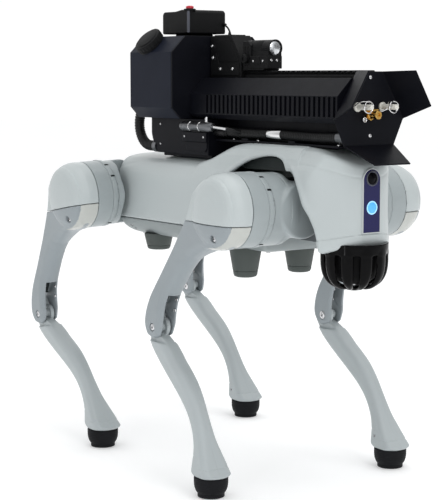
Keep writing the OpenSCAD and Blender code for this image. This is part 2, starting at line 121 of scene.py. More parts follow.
def material(name, colour, rough=0.45, metal=0.0, vary=0.04, vscale=18.0, rvary=0.06, bump=0.0, bscale=900.0,
             coat=0.0, coat_rough=0.1, spec=0.5, wear=0.0, emit=None, estrength=0.0, detail=3.0):
    m = bpy.data.materials.new(name)
    m.use_nodes = True
    nt = m.node_tree
    bs = nt.nodes["Principled BSDF"]
    out = nt.nodes["Material Output"]
    tc = nt.nodes.new("ShaderNodeTexCoord")
    n1 = nt.nodes.new("ShaderNodeTexNoise")
    n1.inputs["Scale"].default_value = vscale
    n1.inputs["Detail"].default_value = detail
    nt.links.new(tc.outputs["Object"], n1.inputs["Vector"])
    ramp = nt.nodes.new("ShaderNodeValToRGB")
    lo = tuple(max(0, c * (1 - vary)) for c in colour)
    hi = tuple(min(1, c * (1 + vary)) for c in colour)
    ramp.color_ramp.elements[0].position = 0.3
    ramp.color_ramp.elements[0].color = (*lo, 1)
    ramp.color_ramp.elements[1].position = 0.7
    ramp.color_ramp.elements[1].color = (*hi, 1)
    nt.links.new(n1.outputs["Fac"], ramp.inputs["Fac"])
    col = ramp.outputs["Color"]
    if wear > 0:
        # lighter rubbed edges
        geo = nt.nodes.new("ShaderNodeNewGeometry")
        r2 = nt.nodes.new("ShaderNodeValToRGB")
        r2.color_ramp.elements[0].position = 0.52
        r2.color_ramp.elements[0].color = (0, 0, 0, 1)
        r2.color_ramp.elements[1].position = 0.62
        r2.color_ramp.elements[1].color = (wear, wear, wear, 1)
        nt.links.new(geo.outputs["Pointiness"], r2.inputs["Fac"])
        mx = nt.nodes.new("ShaderNodeMix")
        mx.data_type = "RGBA"
        nt.links.new(r2.outputs["Color"], mx.inputs["Factor"])
        nt.links.new(col, mx.inputs["A"])
        mx.inputs["B"].default_value = (0.32, 0.33, 0.37, 1)
        col = mx.outputs["Result"]
    nt.links.new(col, bs.inputs["Base Color"])
    mr = nt.nodes.new("ShaderNodeMapRange")
    mr.inputs["To Min"].default_value = max(0.02, rough - rvary)
    mr.inputs["To Max"].default_value = min(1.0, rough + rvary)
    n3 = nt.nodes.new("ShaderNodeTexNoise")
    n3.inputs["Scale"].default_value = vscale * 3.1
    n3.inputs["Detail"].default_value = 4
    nt.links.new(tc.outputs["Object"], n3.inputs["Vector"])
    nt.links.new(n3.outputs["Fac"], mr.inputs["Value"])
    nt.links.new(mr.outputs["Result"], bs.inputs["Roughness"])
    bs.inputs["Metallic"].default_value = metal
    bs.inputs["Specular IOR Level"].default_value = spec
    bs.inputs["Coat Weight"].default_value = coat
    bs.inputs["Coat Roughness"].default_value = coat_rough
    if bump > 0:
        n2 = nt.nodes.new("ShaderNodeTexNoise")
        n2.inputs["Scale"].default_value = bscale
        n2.inputs["Detail"].default_value = 2
        nt.links.new(tc.outputs["Object"], n2.inputs["Vector"])
        bp = nt.nodes.new("ShaderNodeBump")
        bp.inputs["Strength"].default_value = bump
        bp.inputs["Distance"].default_value = 0.0004
        nt.links.new(n2.outputs["Fac"], bp.inputs["Height"])
        nt.links.new(bp.outputs["Normal"], bs.inputs["Normal"])
    if emit:
        bs.inputs["Emission Color"].default_value = (*emit, 1)
        bs.inputs["Emission Strength"].default_value = estrength
    return m


M = {}
M["grey"] = material("cover_grey", (0.478, 0.522, 0.528), 0.36, 0, 0.02, 9, 0.03, 0.10, 1500, coat=0.08, coat_rough=0.3, spec=0.35)
# alloy grey is partly the frames' own darker tone and partly painted shade, darkened so the arms' outer faces read
# shaded
M["alloy"] = material("alloy_grey", (0.290, 0.325, 0.345), 0.36, 0, 0.03, 9, 0.04, 0.12, 1300, coat=0.08, coat_rough=0.28, spec=0.35)
M["link"] = material("link_grey", (0.335, 0.374, 0.384), 0.34, 0, 0.03, 9, 0.04, 0.12, 1300, coat=0.08, coat_rough=0.28, spec=0.35)
M["calf"] = material("calf_grey", (0.420, 0.460, 0.472), 0.34, 0, 0.03, 9, 0.04, 0.12, 1300, coat=0.10, coat_rough=0.26, spec=0.35)
# belly grey is the cover grey darkened as painted shade, for the underside that lies in shade
M["belly"] = material("belly_grey_painted_shade", (0.270, 0.302, 0.306), 0.38, 0, 0.03, 9, 0.04, 0.12, 1300, coat=0.06, coat_rough=0.3, spec=0.3)
M["band"] = material("band_grey", (0.50, 0.515, 0.49), 0.24, 0.0, 0.02, 12, 0.03, 0.05, 1500, coat=0.25, coat_rough=0.15, spec=0.35)
M["pad"] = material("pad_grey", (0.072, 0.084, 0.079), 0.55, 0, 0.06, 20, 0.05, 0.35, 1100, spec=0.3)
# arch dark is painted shade: it darkens the liner in the hip bays and the inside of the knee fork where shade falls
M["arch"] = material("arch_painted_shade", (0.030, 0.038, 0.038), 0.6, 0, 0.08, 25, 0.05, 0.3, 1100, spec=0.2)
M["coat"] = material("coat_black", (0.0048, 0.0052, 0.0078), 0.40, 0, 0.12, 30, 0.05, 0.22, 1700, spec=0.075)
M["coat_side"] = material("coat_navy", (0.0125, 0.0150, 0.0245), 0.44, 0, 0.06, 30, 0.05, 0.25, 1700, spec=0.06)
M["matt"] = material("matt_black", (0.0050, 0.0052, 0.0058), 0.55, 0, 0.12, 35, 0.06, 0.40, 1300, spec=0.14)
M["rubber"] = material("rubber_black", (0.0062, 0.0068, 0.0085), 0.62, 0, 0.15, 40, 0.06, 0.45, 900, spec=0.16)
M["gloss"] = material("gloss_black", (0.0012, 0.0012, 0.0015), 0.10, 0, 0.1, 20, 0.02, 0.0, 900, spec=0.09)
M["hose"] = material("hose_black", (0.0070, 0.0072, 0.0080), 0.42, 0, 0.15, 40, 0.06, 0.25, 1200, spec=0.25)
M["rod"] = material("rod_black", (0.010, 0.0105, 0.012), 0.42, 0.2, 0.12, 40, 0.05, 0.2, 1200, spec=0.2)
M["steel"] = material("steel", (0.50, 0.50, 0.51), 0.26, 1.0, 0.05, 60, 0.06, 0.12, 2400)
M["chrome"] = material("bright_steel", (0.70, 0.70, 0.71), 0.14, 1.0, 0.03, 60, 0.03, 0.03, 2400)
M["dull"] = material("dull_alloy", (0.16, 0.165, 0.175), 0.38, 1.0, 0.08, 45, 0.08, 0.2, 1800)
M["chassis"] = material("chassis_metal", (0.22, 0.23, 0.24), 0.42, 1.0, 0.06, 30, 0.08, 0.2, 1600)
M["battery"] = material("battery_case", (0.02, 0.021, 0.024), 0.5, 0, 0.08, 30, 0.05, 0.25, 1200, spec=0.2)
M["board"] = material("board_green", (0.02, 0.12, 0.05), 0.42, 0, 0.25, 120, 0.08, 0.3, 500)
M["window"] = material("window_navy", (0.0085, 0.0085, 0.072), 0.12, 0, 0.05, 25, 0.02, 0.0, 900, coat=0.15, coat_rough=0.03, spec=0.2)
M["ring"] = material("ring_grey", (0.075, 0.08, 0.10), 0.3, 0.4, 0.05, 50, 0.04, 0.05, 1500)
M["lens"] = material("lens_black", (0.0012, 0.0012, 0.0025), 0.10, 0, 0.2, 60, 0.02, 0.0, 900, spec=0.08)
M["lamp"] = material("lamp_blue", (0.05, 0.20, 0.45), 0.25, 0, 0.3, 260, 0.05, 0.0, 900, emit=(0.07, 0.38, 1.0), estrength=0.85, detail=5)
M["lamp_rim"] = material("lamp_rim", (0.35, 0.60, 0.80), 0.3, 0, 0.1, 60, 0.05, 0.0, 900, emit=(0.25, 0.60, 1.0), estrength=0.55)
M["ceramic"] = material("ceramic", (0.66, 0.65, 0.60), 0.28, 0, 0.04, 40, 0.05, 0.08, 1500, coat=0.2)
M["brass"] = material("brass", (0.55, 0.33, 0.09), 0.27, 1.0, 0.10, 60, 0.07, 0.12, 1800)
M["red"] = material("button_red", (0.50, 0.010, 0.030), 0.32, 0, 0.06, 60, 0.05, 0.1, 1500, coat=0.2)
M["glass"] = material("lamp_glass", (0.62, 0.64, 0.66), 0.12, 0.85, 0.45, 190, 0.05, 0.5, 300)
# socket dark is painted shade at the floor of screw sockets, and the own dark colour of the link clips and the lidar
# dome
M["dark_hole"] = material("socket_shade_and_dark_parts", (0.004, 0.004, 0.0045), 0.6, 0, 0.2, 90, 0.05, 0.1, 900, spec=0.1)
M["frame_light"] = material("frame_light", (0.52, 0.55, 0.56), 0.22, 0, 0.03, 15, 0.03, 0.05, 1500, coat=0.2)
floor_mat = material("floor_pale", (0.84, 0.845, 0.85), 0.8, 0, 0.01, 2, 0.03, 0.05, 60, spec=0.0, emit=(1.0, 1.0, 1.0), estrength=0.26)

fm = bpy.data.meshes.new("floor")
R = 14.0
fm.from_pydata([(-R, -R, -0.0006), (R, -R, -0.0006), (R, R, -0.0006), (-R, R, -0.0006)], [], [(0, 1, 2, 3)])
floor = link(bpy.data.objects.new("floor", fm))
fm.materials.append(floor_mat)

# ------------------------------------------------------------------ placement, millimetres
ROLL = [-0.6, 1.5, 2.8, 4.4]
SWING = [40.5, 36.5, 30.3, 33.8]
LEGS = ["fr", "fl", "rr", "rl"]
HIP_H, FOOT_R, LEG_OFF, THIGH, FG = 366.7, 22.0, 91.5, 216.0, 8.5


def trans(x, y, z):
    m = np.eye(4)
    m[:3, 3] = (x, y, z)
    return m


def rot(axis, deg):
    c, s = math.cos(math.radians(deg)), math.sin(math.radians(deg))
    m = np.eye(4)
    if axis == "x": m[1:3, 1:3] = [[c, -s], [s, c]]
    if axis == "y": m[0, 0], m[0, 2], m[2, 0], m[2, 2] = c, s, -s, c
    if axis == "z": m[0:2, 0:2] = [[c, -s], [s, c]]
    return m


MIRY = np.diag([1.0, -1.0, 1.0, 1.0])
BODY = trans(-9, -11, HIP_H)
sx = lambda i: 1 if i < 2 else -1
sy = lambda i: -1 if i % 2 == 0 else 1


def side(i): return MIRY if sy(i) < 0 else np.eye(4)


def bend(i):
    reach = (HIP_H - FOOT_R + LEG_OFF * sy(i) * math.sin(math.radians(ROLL[i]))) / math.cos(math.radians(ROLL[i]))
    return -math.degrees(math.acos(reach / THIGH - math.cos(math.radians(SWING[i])))) - SWING[i]


def at_hip(i): return BODY @ trans(sx(i) * 185, sy(i) * 44.5, 0) @ rot("x", ROLL[i])
def hip_m(i): return at_hip(i) @ side(i)
def thigh_m(i): return at_hip(i) @ trans(0, sy(i) * LEG_OFF, 0) @ rot("y", SWING[i]) @ side(i)
def knee_m(i): return at_hip(i) @ trans(0, sy(i) * LEG_OFF, 0) @ rot("y", SWING[i]) @ trans(0, 0, -THIGH) @ rot("y", bend(i)) @ side(i)


def make(name, verts, faces, mat, m=None, normals=None, smooth=True, face_mat=None):
    """A mesh object in metres from points in millimetres in a local frame."""
    v = np.asarray(verts, float)
    m = np.eye(4) if m is None else m
    w = v @ m[:3, :3].T + m[:3, 3]
    flip = np.linalg.det(m[:3, :3]) < 0
    me = bpy.data.meshes.new(name)
    if isinstance(faces, np.ndarray):
        f = faces[:, ::-1] if flip else faces
        me.vertices.add(len(w))
        me.vertices.foreach_set("co", (w / 1000).astype(np.float32).ravel())
        k = f.shape[1]
        me.loops.add(f.size)
        me.loops.foreach_set("vertex_index", f.astype(np.int32).ravel())
        me.polygons.add(len(f))
        me.polygons.foreach_set("loop_start", np.arange(0, f.size, k, dtype=np.int32))
        me.update(calc_edges=True)
        me.validate()
    else:
        f = [tuple(reversed(q)) for q in faces] if flip else faces
        me.from_pydata([tuple(p) for p in w / 1000], [], f)
    me.update()
    mats = mat if isinstance(mat, (list, tuple)) else [mat]
    for q in mats:
        me.materials.append(q)
    if face_mat is not None:
        me.polygons.foreach_set("material_index", np.asarray(face_mat, np.int32))
    me.polygons.foreach_set("use_smooth", [smooth] * len(me.polygons))
    if normals is not None:
        nn = np.asarray(normals, float) @ np.linalg.inv(m[:3, :3])
        nn /= np.maximum(np.linalg.norm(nn, axis=1, keepdims=True), 1e-9)
        me.normals_split_custom_set_from_vertices([tuple(q) for q in nn])
    return link(bpy.data.objects.new(name, me))


def place(o, body, slot, *nodes):
    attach(o, body)
    if nodes:
        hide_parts(*nodes)
    return o


# ------------------------------------------------------------------ smooth solids from distance fields
def smin(a, b, k):
    h = np.clip(0.5 + 0.5 * (b - a) / k, 0, 1)
    return b * (1 - h) + a * h - k * h * (1 - h)


def smax(a, b, k): return -smin(-a, -b, k)


def curve(pts, n=6, corners=()):
    """Closed smooth curve through the points; points listed in corners stay sharp."""
    P = np.array(pts, float)
    N = len(P)
    out = []
    for i in range(N):
        p0, p1, p2, p3 = P[(i - 1) % N], P[i], P[(i + 1) % N], P[(i + 2) % N]
        if i in corners: p0 = p1 - (p2 - p1)
        if (i + 1) % N in corners: p3 = p2 + (p2 - p1)
        t0 = 0; t1 = max(np.linalg.norm(p1 - p0), 1e-6) ** 0.5; t2 = t1 + max(np.linalg.norm(p2 - p1), 1e-6) ** 0.5; t3 = t2 + max(np.linalg.norm(p3 - p2), 1e-6) ** 0.5
        for t in np.linspace(t1, t2, n, endpoint=False):
            A1 = (t1 - t) / (t1 - t0) * p0 + (t - t0) / (t1 - t0) * p1
            A2 = (t2 - t) / (t2 - t1) * p1 + (t - t1) / (t2 - t1) * p2
            A3 = (t3 - t) / (t3 - t2) * p2 + (t - t2) / (t3 - t2) * p3
            B1 = (t2 - t) / (t2 - t0) * A1 + (t - t0) / (t2 - t0) * A2
            B2 = (t3 - t) / (t3 - t1) * A2 + (t - t1) / (t3 - t1) * A3
            out.append((t2 - t) / (t2 - t1) * B1 + (t - t1) / (t2 - t1) * B2)
    return np.array(out)


def poly(pts):
    """Signed distance to a closed polygon, negative inside."""
    P = np.asarray(pts, np.float64)
    Q = np.roll(P, -1, axis=0)

    def f(u, v):
        d = np.full(u.shape, 1e18)
        inside = np.zeros(u.shape, bool)
        for (a0, a1), (b0, b1) in zip(P, Q):
            e0, e1 = b0 - a0, b1 - a1
            ee = e0 * e0 + e1 * e1
            if ee < 1e-12: continue
            w0, w1 = u - a0, v - a1
            t = np.clip((w0 * e0 + w1 * e1) / ee, 0, 1)
            q0, q1 = w0 - t * e0, w1 - t * e1
            np.minimum(d, q0 * q0 + q1 * q1, out=d)
            if e1 != 0:
                inside ^= ((a1 <= v) != (b1 <= v)) & (w0 < e0 * w1 / e1)
        return np.where(inside, -1.0, 1.0) * np.sqrt(d)
    return f


def line(pts):
    """Unsigned distance to an open polyline."""
    P = np.asarray(pts, np.float64)

    def f(u, v):
        d = np.full(u.shape, 1e18)
        for (a0, a1), (b0, b1) in zip(P[:-1], P[1:]):
            e0, e1 = b0 - a0, b1 - a1
            w0, w1 = u - a0, v - a1
            t = np.clip((w0 * e0 + w1 * e1) / (e0 * e0 + e1 * e1), 0, 1)
            np.minimum(d, (w0 - t * e0) ** 2 + (w1 - t * e1) ** 2, out=d)
        return np.sqrt(d)
    return f


def cyl(a, b, r, t, lo, hi, k=0.01, ca=0, cb=0):
    """Cylinder of radius r round (ca, cb) in coordinates a, b, between lo and hi along t."""
    d = np.hypot(a - ca, b - cb) - r
    e = np.maximum(lo - t, t - hi)
    return smax(d, e, k)


def boxd(x, y, z, x0, x1, y0, y1, z0, z1, k=0.01):
    return smax(smax(np.maximum(x0 - x, x - x1), np.maximum(y0 - y, y - y1), k), np.maximum(z0 - z, z - z1), k)


def groove(d, depth, w):
    """Depth of a soft groove where the distance d to its line is small."""
    return depth * np.exp(-(d / w) ** 2)


def solid(f, lo, hi, h):
    """Vertices, quads and normals of the surface f = 0 inside the box, on a grid of step h."""
    h *= HS
    B = 4
    lo = np.array(lo, float) - 2.13 * h
    hi = np.array(hi, float) + 2 * h
    n = np.ceil((hi - lo) / (h * B)).astype(int)
    N = n * B + 1
    ax = [lo[i] + h * B * (np.arange(n[i]) + 0.5) for i in range(3)]
    X, Y, Z = (q.ravel() for q in np.meshgrid(*ax, indexing="ij"))
    c = f(X, Y, Z).reshape(n)
    near = np.abs(c) < h * B * 1.9
    rep = lambda a: np.repeat(np.repeat(np.repeat(a, B, 0), B, 1), B, 2)
    F = np.full(N, 1.0)
    Fc = rep(c)
    F[:-1, :-1, :-1] = Fc
    F[-1], F[:, -1], F[:, :, -1] = 1e3, 1e3, 1e3
    m = rep(near)
    mask = np.zeros(N, bool)
    for i in (0, 1):
        for j in (0, 1):
            for k in (0, 1):
                mask[i:N[0] - 1 + i, j:N[1] - 1 + j, k:N[2] - 1 + k] |= m
    I = np.nonzero(mask)
    F[I] = f(lo[0] + h * I[0], lo[1] + h * I[1], lo[2] + h * I[2])
    s = F < 0
    cnt = sum(s[i:N[0] - 1 + i, j:N[1] - 1 + j, k:N[2] - 1 + k].astype(np.uint8) for i in (0, 1) for j in (0, 1) for k in (0, 1))
    act = (cnt > 0) & (cnt < 8)
    C = np.argwhere(act)
    ids = np.full(act.shape, -1, np.int64)
    ids[act] = np.arange(len(C))
    corner = np.array([(i, j, k) for i in (0, 1) for j in (0, 1) for k in (0, 1)])
    val = np.stack([F[C[:, 0] + a, C[:, 1] + b, C[:, 2] + g] for a, b, g in corner], 1)
    acc = np.zeros((len(C), 3)); num = np.zeros(len(C))
    for p in range(8):
        for q in range(p + 1, 8):
            if np.abs(corner[p] - corner[q]).sum() != 1: continue
            x = (val[:, p] < 0) != (val[:, q] < 0)
            t = np.where(x, val[:, p] / np.where(x, val[:, p] - val[:, q], 1), 0)
            acc += np.where(x[:, None], corner[p] + t[:, None] * (corner[q] - corner[p]), 0)
            num += x
    V = lo + h * (C + acc / num[:, None])
    faces = []
    for d in range(3):
        sl = [slice(None)] * 3; sl2 = [slice(None)] * 3
        sl[d] = slice(0, -1); sl2[d] = slice(1, None)
        a, b = s[tuple(sl)], s[tuple(sl2)]
        E = np.argwhere(a != b)
        e1, e2 = (d + 1) % 3, (d + 2) % 3
        ok = (E[:, e1] > 0) & (E[:, e2] > 0) & (E[:, e1] < N[e1] - 1) & (E[:, e2] < N[e2] - 1)
        E = E[ok]
        o1 = np.zeros(3, int); o1[e1] = 1
        o2 = np.zeros(3, int); o2[e2] = 1
        g = lambda P: ids[P[:, 0], P[:, 1], P[:, 2]]
        quad = np.stack([g(E - o1 - o2), g(E - o2), g(E), g(E - o1)], 1)
        inside_first = a[tuple(E.T)]
        quad[~inside_first] = quad[~inside_first][:, ::-1]
        faces.append(quad)
    Q = np.concatenate(faces)
    Q = Q[(Q >= 0).all(1)]
    e = 0.02
    for it in range(4):
        v0 = f(V[:, 0], V[:, 1], V[:, 2])
        G = np.stack([f(V[:, 0] + e, V[:, 1], V[:, 2]) - v0, f(V[:, 0], V[:, 1] + e, V[:, 2]) - v0, f(V[:, 0], V[:, 1], V[:, 2] + e) - v0], 1) / e
        g2 = np.maximum((G * G).sum(1), 0.05)
        if it < 3:
            step = -(v0 / g2)[:, None] * G
            L = np.linalg.norm(step, axis=1, keepdims=True)
            V = V + step * np.minimum(1, 0.45 * h / np.maximum(L, 1e-9))
    nrm = G / np.maximum(np.linalg.norm(G, axis=1, keepdims=True), 1e-9)
    return V, Q, nrm


# ------------------------------------------------------------------ hard-edged pieces
def bevel(o, w, seg=2, angle=28):
    b = o.modifiers.new("edge", "BEVEL")
    b.width = w / 1000
    b.segments = seg
    b.limit_method = "ANGLE"
    b.angle_limit = math.radians(angle)
    b.harden_normals = True
    return o


class Shape:
    """Collects prisms and lathed forms, in millimetres, into one mesh."""
    def __init__(s): s.v, s.f, s.m = [], [], []

    def add(s, v, f, m=None, mat=0):
        m = np.eye(4) if m is None else m
        v = np.asarray(v, float) @ m[:3, :3].T + m[:3, 3]
        if np.linalg.det(m[:3, :3]) < 0: f = [tuple(reversed(q)) for q in f]
        o = len(s.v)
        s.v += [tuple(p) for p in v]
        s.f += [tuple(i + o for i in q) for q in f]
        s.m += [mat] * len(f)
        return s

    def prism(s, pts, a, b, axis="x", m=None, mat=0):
        """Polygon pts extruded from a to b. Axis x: pts are (y, z); axis y: (x, z); axis z: (x, y)."""
        P = [tuple(p) for p in pts]
        area2 = sum(P[i][0] * P[(i + 1) % len(P)][1] - P[(i + 1) % len(P)][0] * P[i][1] for i in range(len(P)))
        if area2 < 0: P = P[::-1]
        n = len(P)
        mk = {"x": lambda p, t: (t, p[0], p[1]), "y": lambda p, t: (p[0], t, p[1]), "z": lambda p, t: (p[0], p[1], t)}[axis]
        v = [mk(p, a) for p in P] + [mk(p, b) for p in P]
        f = [tuple(range(n - 1, -1, -1)), tuple(range(n, 2 * n))] + [(i, (i + 1) % n, n + (i + 1) % n, n + i) for i in range(n)]
        if axis == "y": f = [tuple(reversed(q)) for q in f]
        return s.add(v, f, m, mat)

    def box(s, x0, x1, y0, y1, z0, z1, m=None, mat=0):
        return s.prism([(x0, y0), (x1, y0), (x1, y1), (x0, y1)], z0, z1, "z", m, mat)

    def lathe(s, prof, m=None, n=48, mat=0):
        """Profile of (radius, height) from bottom to top turned round z; ends at radius 0 close with a point."""
        v, f, rows = [], [], []
        for r, z in prof:
            if r < 1e-6:
                rows.append([len(v)]); v.append((0, 0, z))
            else:
                rows.append(list(range(len(v), len(v) + n)))
                v += [(r * math.cos(2 * math.pi * i / n), r * math.sin(2 * math.pi * i / n), z) for i in range(n)]
        for a, b in zip(rows[:-1], rows[1:]):
            for i in range(n):
                j = (i + 1) % n
                if len(a) == 1 and len(b) == 1: break
                if len(a) == 1: f.append((a[0], b[j], b[i]))
                elif len(b) == 1: f.append((a[i], a[j], b[0]))
                else: f.append((a[i], a[j], b[j], b[i]))
        if len(rows[0]) > 1: f.append(tuple(reversed(rows[0])))
        if len(rows[-1]) > 1: f.append(tuple(rows[-1]))
        return s.add(v, f, m, mat)

    def tube(s, path, r, n=12, mat=0, m=None, caps=True):
        """Round tube along points; r is one radius or one per point."""
        P = np.asarray(path, float)
        k = len(P)
        rr = np.full(k, float(r)) if np.isscalar(r) else np.asarray(r, float)
        T = np.gradient(P, axis=0)
        T /= np.linalg.norm(T, axis=1, keepdims=True)
        u = np.cross(T[0], (0, 0, 1.0) if abs(T[0][2]) < 0.9 else (1.0, 0, 0))
        u /= np.linalg.norm(u)
        v, f = [], []
        for i in range(k):
            u = u - T[i] * (u @ T[i]); u /= np.linalg.norm(u)
            w = np.cross(T[i], u)
            v += [tuple(P[i] + rr[i] * (math.cos(2 * math.pi * j / n) * u + math.sin(2 * math.pi * j / n) * w)) for j in range(n)]
        for i in range(k - 1):
            for j in range(n):
                j2 = (j + 1) % n
                f.append((i * n + j, i * n + j2, (i + 1) * n + j2, (i + 1) * n + j))
        if caps:
            f.append(tuple(range(n - 1, -1, -1)))
            f.append(tuple(range((k - 1) * n, k * n)))
        return s.add(v, f, m, mat)

    def done(s, name, mats, m=None, smooth=True, edge=0, seg=2, angle=28, sharp=35):
        o = make(name, s.v, s.f, mats, m, smooth=smooth, face_mat=s.m)
        if edge > 0:
            bevel(o, edge, seg, angle)
        elif smooth:
            o.data.set_sharp_from_angle(angle=math.radians(sharp))
        return o


def axis_m(direction, origin):
    """Matrix that turns +z to the direction and moves to the origin."""
    q = Vector((0, 0, 1)).rotation_difference(Vector(direction).normalized()).to_matrix()
    m = np.eye(4)
    m[:3, :3] = np.array(q)
    m[:3, 3] = origin
    return m


def screw(s, m, r=2.6, h=1.3, mat=0, hole=1):
    """Button head with a hex socket, standing on z = 0."""
    s.lathe([(r, 0), (r, h * 0.35), (r * 0.86, h * 0.8), (r * 0.6, h), (r * 0.5, h), (r * 0.5, h * 0.35), (0, h * 0.35)], m, 20, mat)
    # the socket's floor is a dark hexagon: painted shade for the socket's depth
    s.lathe([(0, 0.3 * h), (r * 0.48, 0.34 * h), (0, 0.36 * h)], m, 6, hole)
    return s


# ------------------------------------------------------------------ trunk, hood, belly, head
side_half = [(69.2, -36), (70.0, -14), (70.0, 6), (69.0, 23), (66.2, 35), (60.5, 45), (52, 50.6), (40, 53.2), (22, 54.8), (0, 55)]
belly_half = [(0, -60), (30, -60), (47, -59.6), (57.5, -56), (65, -47.5)]
sec_pts = belly_half + side_half
sec = poly(curve(sec_pts + [(-a, b) for a, b in reversed(sec_pts[1:-1])], 4))
hood_half = [(0, 79.6), (40.6, 79.6), (42.2, 81), (46.6, 80.9), (51.4, 78), (56, 72.6), (59.4, 64.5), (61.3, 54), (61.5, 20)]
hood_sec = poly([(a, b) for a, b in hood_half] + [(-a, b) for a, b in reversed(hood_half[1:])])
hood_prof = poly(list(curve([(20, 20), (20, 50), (34, 54.6), (48, 59.2), (62, 64.8), (76, 71.2), (90, 77.4), (106, 82), (125, 84.6), (160, 85.4), (195, 85.4), (246, 85), (246, 20)], 4, (0, 1, 11, 12))))
arch = poly(list(curve([(94, 40.5), (106, 47), (119, 53), (133, 58.4), (149, 62.4), (165, 65.2), (180, 66.2), (194, 64.9), (204, 61.2), (209.5, 55), (213, 46), (214, 20), (94, 20)], 4, (0, 11, 12))))
prof_end = poly(list(curve([(-177.5, 40), (-178, 0), (-177.2, -22), (-174.5, -36), (-167, -49), (-157, -55.6), (-146, -58.9), (-126, -61.6), (150, -61.6), (162, -60), (172, -52), (177, -38), (177, 40), (177, 70), (-177.5, 70)], 4, (0, 7, 8, 12, 13, 14))))
crease = line([(-176, 35.5), (-163, 38.5), (-150, 41), (-130, 44.3), (-110, 46.6), (-85, 48.8), (-60, 50.2), (-30, 51.2), (0, 51.2), (30, 50.2), (50, 48.2), (66, 45.6), (80, 42.4), (92, 38.5)])
plan_half = [(205, 61), (220, 63.2), (234, 65.4), (246, 66.4), (258, 64.2), (271, 57.2), (284, 46.8), (295, 35), (303, 21), (306, 13.5)]
ph = list(curve(plan_half + [(306, -13.5), (205, -61)], 4, (0, 9, 10, 11))[:36])
plan = poly(ph + [(306, 13.5), (306, -13.5)] + [(q[0], -q[1]) for q in reversed(ph)])
head_prof = poly(list(curve([(205, 82.6), (236, 81.6), (252, 79.4), (268, 75.6), (285, 69.6), (298, 62.6), (304.8, 56), (306.4, 48), (306.4, -24), (305.9, -32), (302.5, -38), (294, -42.8), (276, -47.8), (269.5, -43), (267.8, -34), (265, -19), (258.5, -4), (250.5, 9), (245, 22), (234, 41.5), (226, 49), (214, 58), (205, 62)], 4, (0, 7, 11, 12, 22))))
head_sec = poly([(-70, -60), (-68.8, 15), (-67.2, 38), (-63.5, 52), (-58.5, 61), (-54.4, 69), (-49, 75.4), (-43, 79.4), (-40.5, 79.6), (40.5, 79.6), (43, 79.4), (49, 75.4), (54.4, 69), (58.5, 61), (63.5, 52), (67.2, 38), (68.8, 15), (70, -60)])
rear_edge = line([(214, 58), (226, 49), (234, 41.5), (245, 22), (250.5, 9), (258.5, -4), (265, -19), (267.8, -34), (269.5, -43)])
lip_line = line([(240, -35.6), (270, -33.6), (284, -31), (293, -28.6), (302, -26), (312, -23.6)])
top_crease = line([(213, 54.4), (225, 56.2), (238, 57.6), (250, 58.3), (262, 57.6), (272, 56.2), (282, 53.6), (290, 50.6), (298, 46.8), (309, 42)])


def sig(t): return 1 / (1 + np.exp(-np.clip(t, -40, 40)))


def trunk_f(x, y, z):
    b = smax(sec(y, z), prof_end(x, z), 4.5)
    # low cap over the tail spine
    b = smin(b, boxd(x, y, z, -228, -170, -11, 11, 42.2, 45, 0.8), 1)
    ay = np.abs(y)
    b = b + (groove(crease(x, z), 0.38, 2.3) + 0.35 * sig((z - np.interp(x, [-176, -150, -110, -60, 0, 50, 92], [35.5, 41, 46.6, 50.2, 51.2, 48.2, 38.5])) * 1.4)) * sig((ay - 42) * 0.6) * sig((97 - x) * 0.25)
    h = smax(hood_sec(y, z), hood_prof(x, z), 9)
    b = smin(b, h, 9)
    # hip bays behind and below the hood
    bay = smax(smax(177.5 - x, ay - 90, 0.5), z - 44, 0.5)
    b = smax(b, -smin(bay, cyl(y, z, 51.5, x, 177.5, 260, 2, 44.5, 0), 2), 2)
    b = smax(b, -cyl(y, z, 51.5, x, 177.5, 260, 2, -44.5, 0), 2)
    return b


def head_f(x, y, z):
    b = smax(smax(plan(x, y), head_prof(x, z), 5), head_sec(y, z), 4)
    ay = np.abs(y)
    # narrower below, with a rolled rear flange
    b = smax(b, ay - np.interp(z, [-48, -30, -5, 12, 80], [54.5, 58, 63.5, 70, 70]), 6)
    r = rear_edge(x, z)
    b = b - 2.0 * np.exp(-((r - 5.5) / 4.2) ** 2) * np.clip((ay - 36) / 14, 0, 1) * np.clip((62 - z) / 12, 0, 1)
    b = b + groove(lip_line(x, z), 0.9, 0.95)
    b = b - 0.9 * sig(-(z + np.interp(x, [240, 270, 284, 293, 302, 312], [35.6, 33.6, 31, 28.6, 26, 23.6])) * 2.2) * sig((x - 246) * 0.8)
    b = b + groove(top_crease(x, z), 0.5, 1.4) * sig((x - 216) * 0.5)
    return b


